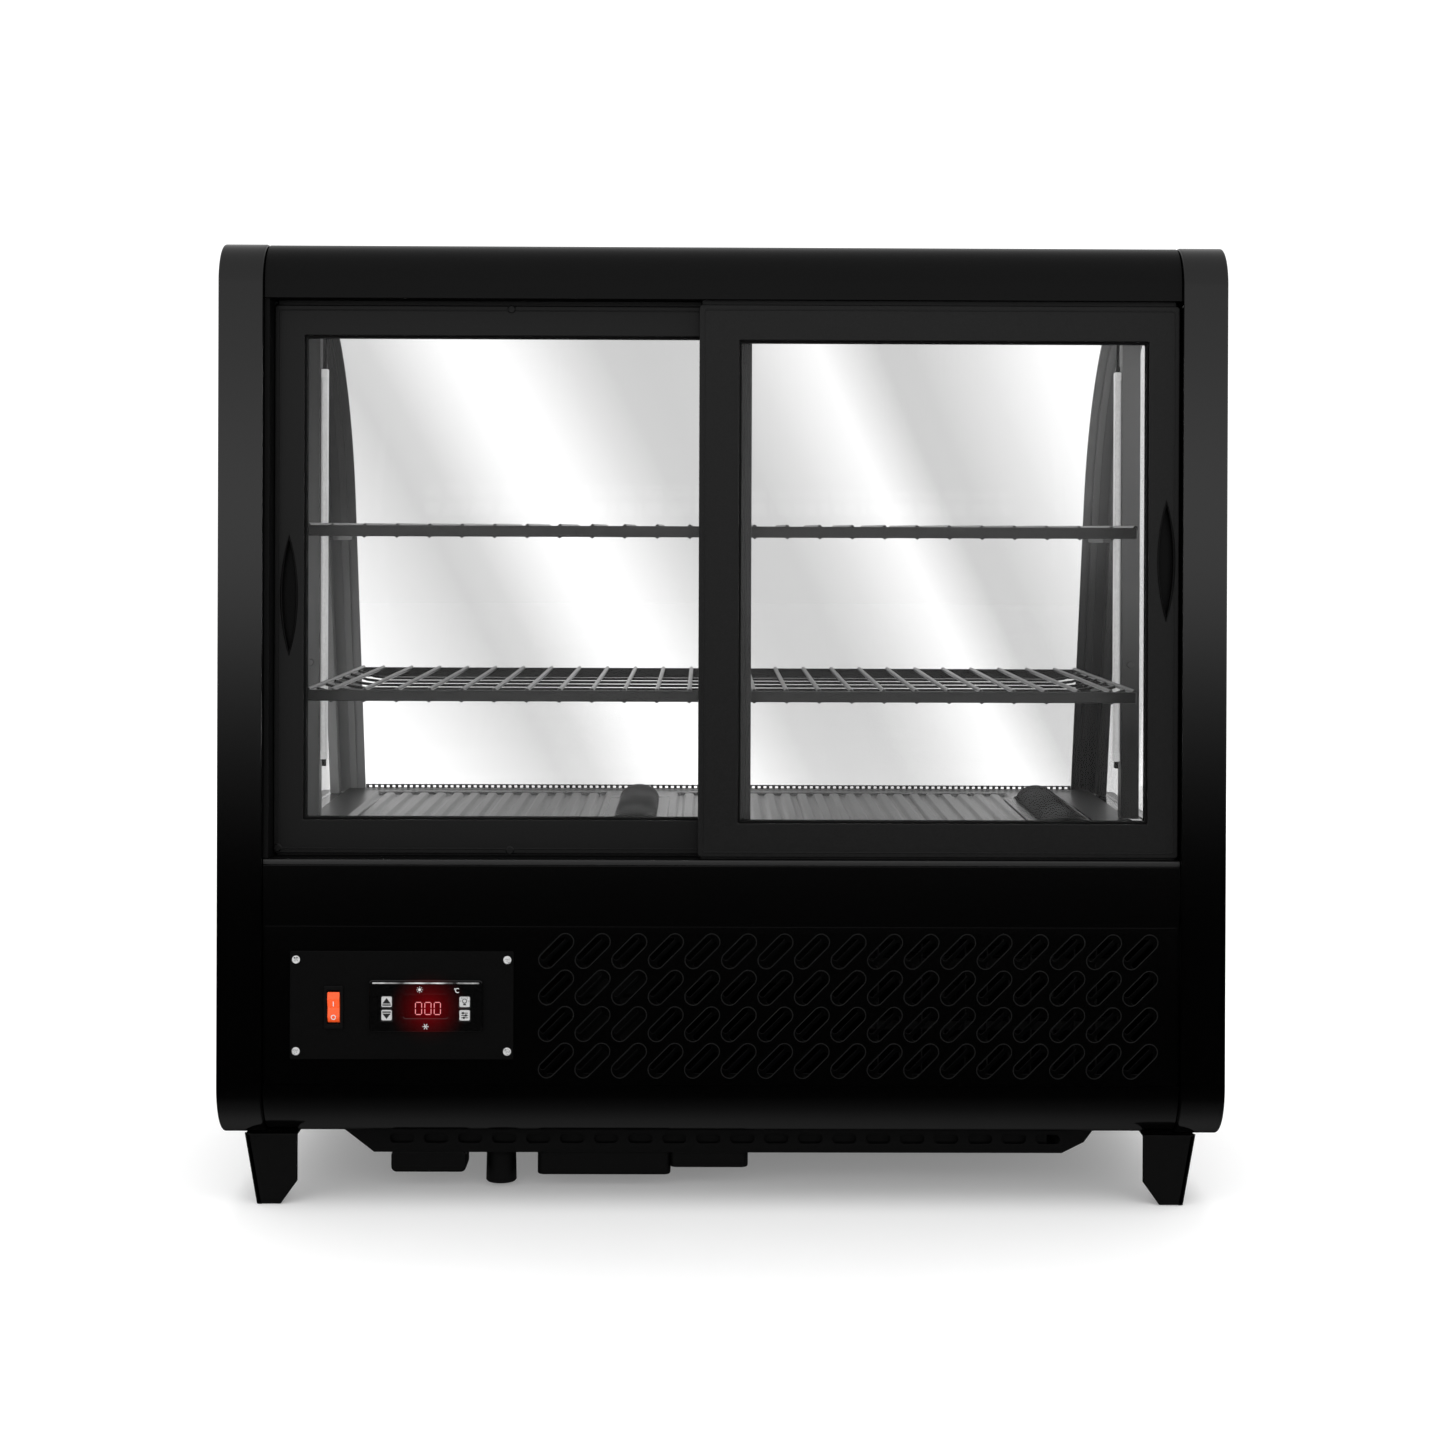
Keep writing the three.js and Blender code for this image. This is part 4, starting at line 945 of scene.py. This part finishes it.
def key(name, x, z):
    """A key cap with its printed sign."""
    cap = slab(around(x, z, 3.6, 3.6, 0.9, 5), "y", (0.5, 2.1), 0.3, steps=3)
    piece(f"{name}_cap", [cap], KEY_PLASTIC, f"{name}_key", [f"key_{name}"])
    depth = (0.42, 0.56)
    if name in ("up", "down"):
        way = 1 if name == "up" else -1
        arrow = [(x - 2.9, z - way * 1.2), (x + 2.9, z - way * 1.2), (x, z + way * 2.6)]
        meshes = [mark(arrow, depth), mark(around(x, z - way * 2.2, 2.9, 0.45), depth)]
    elif name == "light":
        middle = (x, z + 0.7)
        meshes = [mark(circle(middle, 1.7, 20), depth, [circle(middle, 1.2, 20)]),
                  mark(around(x, z - 1.7, 0.9, 0.5), depth)]
        ray = around(x + 2.8, z + 0.7, 0.5, 0.16)
        meshes += [mark(turned(ray, middle, angle), depth, bevel=0.02) for angle in (0, 45, 135, 180)]
    else:
        meshes = [mark(around(x, z + row, 2.3, 0.28), depth) for row in (-1.6, 0, 1.6)]
        meshes += [mark(around(x + at, z + row, 0.62, 0.75, 0.2, 3), depth)
                   for at, row in ((-1.1, 1.6), (0.9, 0), (-0.5, -1.6))]
    piece(f"{name}_sign", meshes, DARK_INK, f"{name}_key")


def controller_marks():
    """Small printed signs round the screen: a lamp, a snowflake and the degree sign with its letter."""
    depth = (0.72, 0.86)
    sun = (CONTROLLER_X - 4.2, PLATE_Z + 11.4)
    ray = around(sun[0] + 1.9, sun[1], 0.4, 0.14)
    marks = [mark(circle(sun, 1.0, 16), depth)]
    marks += [mark(turned(ray, sun, 45 * i), depth, bevel=0.02) for i in range(8)]
    flake = (CONTROLLER_X, PLATE_Z - 14.2)
    marks += [mark(turned(around(*flake, 2.1, 0.2), flake, 60 * i), depth) for i in range(3)]
    letter = (CONTROLLER_X + 22.1, PLATE_Z + 10.9)
    degree = (letter[0] - 1.8, letter[1] + 1.0)
    marks.append(mark(circle(degree, 0.62, 14), depth, [circle(degree, 0.34, 14)]))
    marks.append(mark(arc(letter, 1.7, 50, 310, 14) + arc(letter, 1.2, 310, 50, 14), depth))
    fixed("thermostat_signs", marks, INK)


GLOW_X, GLOW_Z = CONTROLLER_X + 1.6, PLATE_Z - 1.6


def painted_red_glow(material, strength, reach=29):
    """A dim red halo round the digits, fading with distance from them: painted light, glowing on a surface
    that is no lamp.
    """
    tree = material.node_tree
    link = tree.links.new
    shader = tree.nodes["Principled BSDF"]
    coords = tree.nodes["Texture Coordinate"]
    place = add_node(tree, "Mapping", Location=(-GLOW_X / reach, 0, -GLOW_Z / reach),
                     Scale=(1 / (reach * MM), 0, 1 / (reach * MM)))
    ball = add_node(tree, "TexGradient")
    ball.gradient_type = "QUADRATIC_SPHERE"
    link(coords.outputs["Object"], place.inputs["Vector"])
    link(place.outputs["Vector"], ball.inputs["Vector"])
    halo = add_ramp(tree, ball.outputs["Fac"], [(0, (0, 0, 0, 1)), (1, (0.16, 0.0, 0.002, 1))])
    link(halo, shader.inputs["Emission Color"])
    shader.inputs["Emission Strength"].default_value = strength


# ---- underneath ---------------------------------------------------------------------------------
def base_pan():
    """A shallow pressed pan: slanted ends, a drainage bump, ribs and a row of vents along its rear."""
    near, far = PAN_INSET, DEPTH - PAN_INSET
    plate = slab(rounded(PANEL_X, (near, far)), "z",
                 (BASE_BOTTOM, BASE_BOTTOM + SHEET), 0.3)
    rim = BASE_BOTTOM + 0.5
    left_end = [(-279, rim), (-249, PAN_BOTTOM)]
    right_end = [(246, PAN_BOTTOM), (262, PAN_BOTTOM + 8), (273, rim)]
    trough = left_end + right_end
    vents = [around(x, 37.5, 8.6, 3.2, 3.1, 5) for x in spaced(-229, 236, 24.2)]
    walls = [slab(trough, "y", depth, 0.4, vents) for depth in ((near, near + 1.5), (far - 1.5, far))]
    baffle = slab(rounded((-240, 236), (PAN_BOTTOM + 2, BASE_BOTTOM - 0.4)), "y", (near + 6, near + 7), 0.2)
    bottom = slab(rounded((-249, 246), (near + 0.2, far - 0.2)), "z", (PAN_BOTTOM, PAN_BOTTOM + SHEET), 0.2)
    ends = [slab(end + [(x + way * 1.2, z + 1) for x, z in end[::-1]], "y", (near + 0.2, far - 0.2), 0.2)
            for end, way in ((left_end, 1), (right_end, -1))]
    ribs = [block((x, x + 6), (near + 84, far - 12), (PAN_BOTTOM - 1.4, PAN_BOTTOM + 1), 0.8)
            for x in spaced(-170, 200, 46)]
    bump = slab(rounded((-237, -183), (12.7, PAN_BOTTOM + 1), 4), "y", (near + 1, near + 26), 1.5, steps=4)
    meshes = [plate, *walls, baffle, bottom, *ends, *ribs, bump]
    fixed("underside_pan", meshes, BLACK_PLASTIC, ["base_pan"])


def leg(name, side, end):
    """A corner leg of two flanges: its outer side slants inwards, its inner ones are cut away."""
    across, along = side * LEG_X, LEG_INSET if end > 0 else DEPTH - LEG_INSET
    top = BASE_BOTTOM - 0.3

    def run(origin, way, low, high):
        return tuple(sorted((origin + way * low, origin + way * high)))

    front_view = [(-18.5, top), (-18.5, 16), (-7, 0), (9.8, 0), (18.5, top)]
    end_view = [(-18.5, top), (-18.5, 0), (-2, 0), (18.5, 16), (18.5, top)]
    front = slab([(across + side * u, z) for u, z in front_view], "y", run(along, end, -18.5, -14.5), 1,
                 steps=3)
    outer = slab([(along + end * u, z) for u, z in end_view], "x", run(across, side, 5.6, 9.6), 1, steps=3)
    lean(outer, 0, side * 0.175)
    foot = slab(rounded(run(across, side, -6, 9), run(along, end, -18, -2.5), 2), "z", (0, 3), 0.6, steps=3)
    cap = slab(rounded(run(across, side, -18, 18), run(along, end, -18, 18), 2), "z", (top - 2.5, top), 0.6)
    fixed(f"{name}_foot", [front, outer, foot, cap], BLACK_PLASTIC,
          [f"{name}_leg"], 30)


def lean(mesh, axis, slope):
    """Slants a mesh along x or y in proportion to its height."""
    for vertex in mesh.vertices:
        vertex.co[axis] += slope * vertex.co.z


def underside_fittings():
    outline = rounded((-132, -36), (70, 190), 5)
    inside = rounded((-129, -39), (73, 187), 3)
    top = PAN_BOTTOM - 0.3
    wall = slab(outline, "z", (10.6, top), 0.9, [inside], 3)
    floor = slab(outline, "z", (10.2, 12.8), 1.1, steps=3)
    step = slab(rounded((-36.5, 20), (70, 150), 5), "z", (15.5, top), 1.2, steps=3)
    fixed("drip_tray", [wall, floor, step], BLACK_PLASTIC, ["condensate_tray"])
    spout = lathe([(0, 0.6), (7.6, 0.6), (8, 0), (10.2, 0), (11.1, 1), (10.7, 20), (11, 21), (11, 24.7),
                   (0, 24.7)], (-159, 85, 2.5), "z")
    fixed("drain_outlet", [spout], BLACK_PLASTIC, ["drain_spout"])
    gland = lathe([(0, 0), (3.4, 0), (4.6, 1.4), (5.2, 4.6), (7.2, 5), (8, 6), (8, 10), (0, 10)],
                  (285, 110, BASE_BOTTOM - 10.3), "z")
    fixed("cord_gland", [gland], GASKET, ["cable_gland"])


# ---- machinery ----------------------------------------------------------------------------------
def blade_rotor(node, body, radius, hub_radius=13):
    """A five-bladed fan: curved, tapered blades on a domed hub."""
    centre = ROTORS[node][:3]
    hub = lathe([(0, -6), (9, -6), (hub_radius, -3.6), (hub_radius, 6), (0, 6)], centre, "y")
    blades = []
    for i in range(5):
        bm = bmesh.new()
        faces = []
        for shift in (BLADE_HALF, -BLADE_HALF):
            rows = []
            for r in spaced(hub_radius - 2, radius, 4):
                reach = 26 + 30 * (1 - (r / radius)) + (8 if r < radius - 4 else 0)
                row = []
                for a in spaced(-reach / 2, reach / 2, reach / 8):
                    angle = math.radians(72 * i + a + 8 * (r / radius))
                    pitch = 5.2 * math.sin(math.radians(a * 2.2)) + shift
                    row.append(bm.verts.new(to_world(centre[0] + r * math.sin(angle), centre[1] + pitch,
                                                     centre[2] + r * math.cos(angle), "z")))
                rows.append(row)
            faces.append(rows)
        close_grids(bm, *faces)
        blades.append(finished(bm, "blade"))
    piece(f"{body}_rotor", [hub, *blades], BLACK_PLASTIC, body, [node], 40)


BLADE_HALF = 0.6  # half a blade's thickness
ROTORS = {  # x, depth and height of each rotor's middle, and its radius
    "condenser_fan_rotor": (195, 81, 119.9, 54.5), "evaporator_fan_rotor": (150, 292, 174.3, 38.5),
}


def carried_nodes():
    """CAD nodes whose shape is right keep it, with softened edges and a finish of their own."""
    # The condenser coil and its fan plate are dark: partly the black paint such coils often have, partly
    # painted shade that keeps the machinery dim behind the grille.
    finishes = {
        "ceiling_panel": TOP_PAINT, "evaporator_tub": BLACK_PLASTIC, "evaporator_coil": FINS,
        "evaporator_fan_plate": STEEL, "condenser_coil": BLACK_FINS, "condenser_fan_plate": CASTING,
        "compressor": CASTING,
    }
    for node, material in finishes.items():
        obj = NODES[node]
        obj.data.materials.clear()
        obj.data.materials.append(material)
        soften = obj.modifiers.new("soften", "BEVEL")
        soften.width = 0.0004
        soften.segments = 2
        soften.limit_method = "ANGLE"
        soften.angle_limit = math.radians(40)


# ---- studio -------------------------------------------------------------------------------------
def floor():
    bm = bmesh.new()
    bmesh.ops.create_circle(bm, cap_ends=True, segments=96, radius=14)
    mesh = bpy.data.meshes.new("floor")
    bm.to_mesh(mesh)
    bm.free()
    obj = bpy.data.objects.new("floor", mesh)
    obj.location.z = -0.0004
    bpy.context.scene.collection.objects.link(obj)
    mesh.materials.append(paint("floor_white", (236, 238), (0.9, 1.0), 3, gloss=0.0,
                                Emission_Color=WHITE, Emission_Strength=0.2))
    obj.visible_glossy = False


def world():
    """White all round, but a soft studio gradient in reflections: bright above, dark below."""
    sky = bpy.data.worlds.new("studio")
    bpy.context.scene.world = sky
    sky.use_nodes = True
    tree = sky.node_tree
    link = tree.links.new
    background = tree.nodes["Background"]
    coords = add_node(tree, "TexCoord")
    split = add_node(tree, "SeparateXYZ")
    rescale = add_node(tree, "MapRange", From_Min=-1, From_Max=1)
    stops = [(-1, 0.2), (-0.9, 0.12), (-0.6, 0.02), (-0.13, 0.0), (-0.094, 0.14), (-0.07, 0.32),
             (-0.053, 0.52), (-0.037, 0.78), (-0.02, 0.99), (0.01, 1.05), (0.034, 0.98),
             (0.074, 0.77), (0.11, 0.66), (1, 0.6)]
    gradient = add_ramp(tree, rescale.outputs["Result"],
                        [((height + 1) / 2, (level, level, level, 1)) for height, level in stops])
    path = add_node(tree, "LightPath")
    choose = add_node(tree, "Mix")
    choose.data_type = "RGBA"
    choose.inputs["A"].default_value = (1.2, 1.2, 1.2, 1)
    link(coords.outputs["Generated"], split.inputs["Vector"])
    link(split.outputs["Z"], rescale.inputs["Value"])
    mirrored = add_node(tree, "Math")
    mirrored.operation = "SUBTRACT"
    mirrored.use_clamp = True
    link(path.outputs["Is Glossy Ray"], mirrored.inputs[0])
    link(path.outputs["Is Transmission Ray"], mirrored.inputs[1])
    link(mirrored.outputs["Value"], choose.inputs["Factor"])
    link(gradient, choose.inputs["B"])
    link(choose.outputs["Result"], background.inputs["Color"])
    background.inputs["Strength"].default_value = 1


def softbox(name, place, target, size, watts):
    light = bpy.data.lights.new(name, "AREA")
    light.shape = "RECTANGLE"
    light.size, light.size_y = size
    light.energy = watts
    obj = bpy.data.objects.new(name, light)
    obj.location = place
    obj.rotation_euler = (Vector(target) - Vector(place)).to_track_quat("-Z", "Y").to_euler()
    obj.visible_glossy = False
    obj.visible_camera = False
    bpy.context.scene.collection.objects.link(obj)


def camera():
    """A long lens level with the upper shelf, a little left of the middle."""
    yaw, pitch, roll = (math.radians(a) for a in (0.418, -0.193, 0.213))
    forward = Vector((math.sin(yaw) * math.cos(pitch), math.cos(yaw) * math.cos(pitch), math.sin(pitch)))
    right = Vector((math.cos(yaw), -math.sin(yaw), 0))
    up = right.cross(forward)
    rolled = right * math.cos(roll) + up * math.sin(roll)
    upright = up * math.cos(roll) - right * math.sin(roll)
    data = bpy.data.cameras.new("camera")
    data.sensor_width = 36
    data.lens = 60.84
    data.shift_y = -0.1275
    obj = bpy.data.objects.new("camera", data)
    columns = Matrix((rolled, upright, -forward)).transposed()
    obj.matrix_world = Matrix.Translation((-0.01289, SERVICE_FACE_Y - 1.6912, 0.4757)) @ columns.to_4x4()
    bpy.context.scene.collection.objects.link(obj)
    bpy.context.scene.camera = obj


# ---- build --------------------------------------------------------------------------------------
camera()
world()
floor()
softbox("key", (0.2, -1.6, 3.0), (0, 0, 0.3), (2.6, 1.6), 12)
softbox("back", (0, 0.9, 2.8), (0, 0, 0.2), (2.4, 1.2), 30)
bpy.context.scene.view_settings.view_transform = "Standard"

for case_side in ("left", "right"):
    side_frame(case_side)
    side_glass(case_side)
    front_pillar(case_side)
    shelf_post(case_side)
    light_strip(case_side)
    door(case_side)
    for shelf_level in SHELVES:
        bracket(case_side, shelf_level)
top_panel()
rear_lower_panel()
access_panel()
front_base_panel()
front_glass()
tracks()
jambs()
deck()
for louvre_name, louvre_x in LOUVRES.items():
    louvre(louvre_name, louvre_x)
for shelf_level in SHELVES:
    wire_shelf(shelf_level)
control_plate()
for screw, (across, up) in enumerate(((-1, 1), (1, 1), (-1, -1), (1, -1)), 1):
    cross_screw(screw, across, up)
power_switch()
# The digits' red light painted as a glow on the screen lens, the thermostat body and the plate.
for glowing_paint, strength in ((SCREEN, 1), (GLOSS_PLASTIC, 1), (PLATE_PLASTIC, 0.2)):
    painted_red_glow(glowing_paint, strength)
controller()
base_pan()
underside_fittings()
for leg_name, leg_side, leg_end in (("left_rear", -1, 1), ("right_rear", 1, 1), ("left_front", -1, -1),
                                    ("right_front", 1, -1)):
    leg(leg_name, leg_side, leg_end)
for rotor, (_, _, _, rotor_radius) in ROTORS.items():
    blade_rotor(rotor, rotor.replace("_rotor", ""), rotor_radius)
carried_nodes()

bpy.context.view_layer.update()
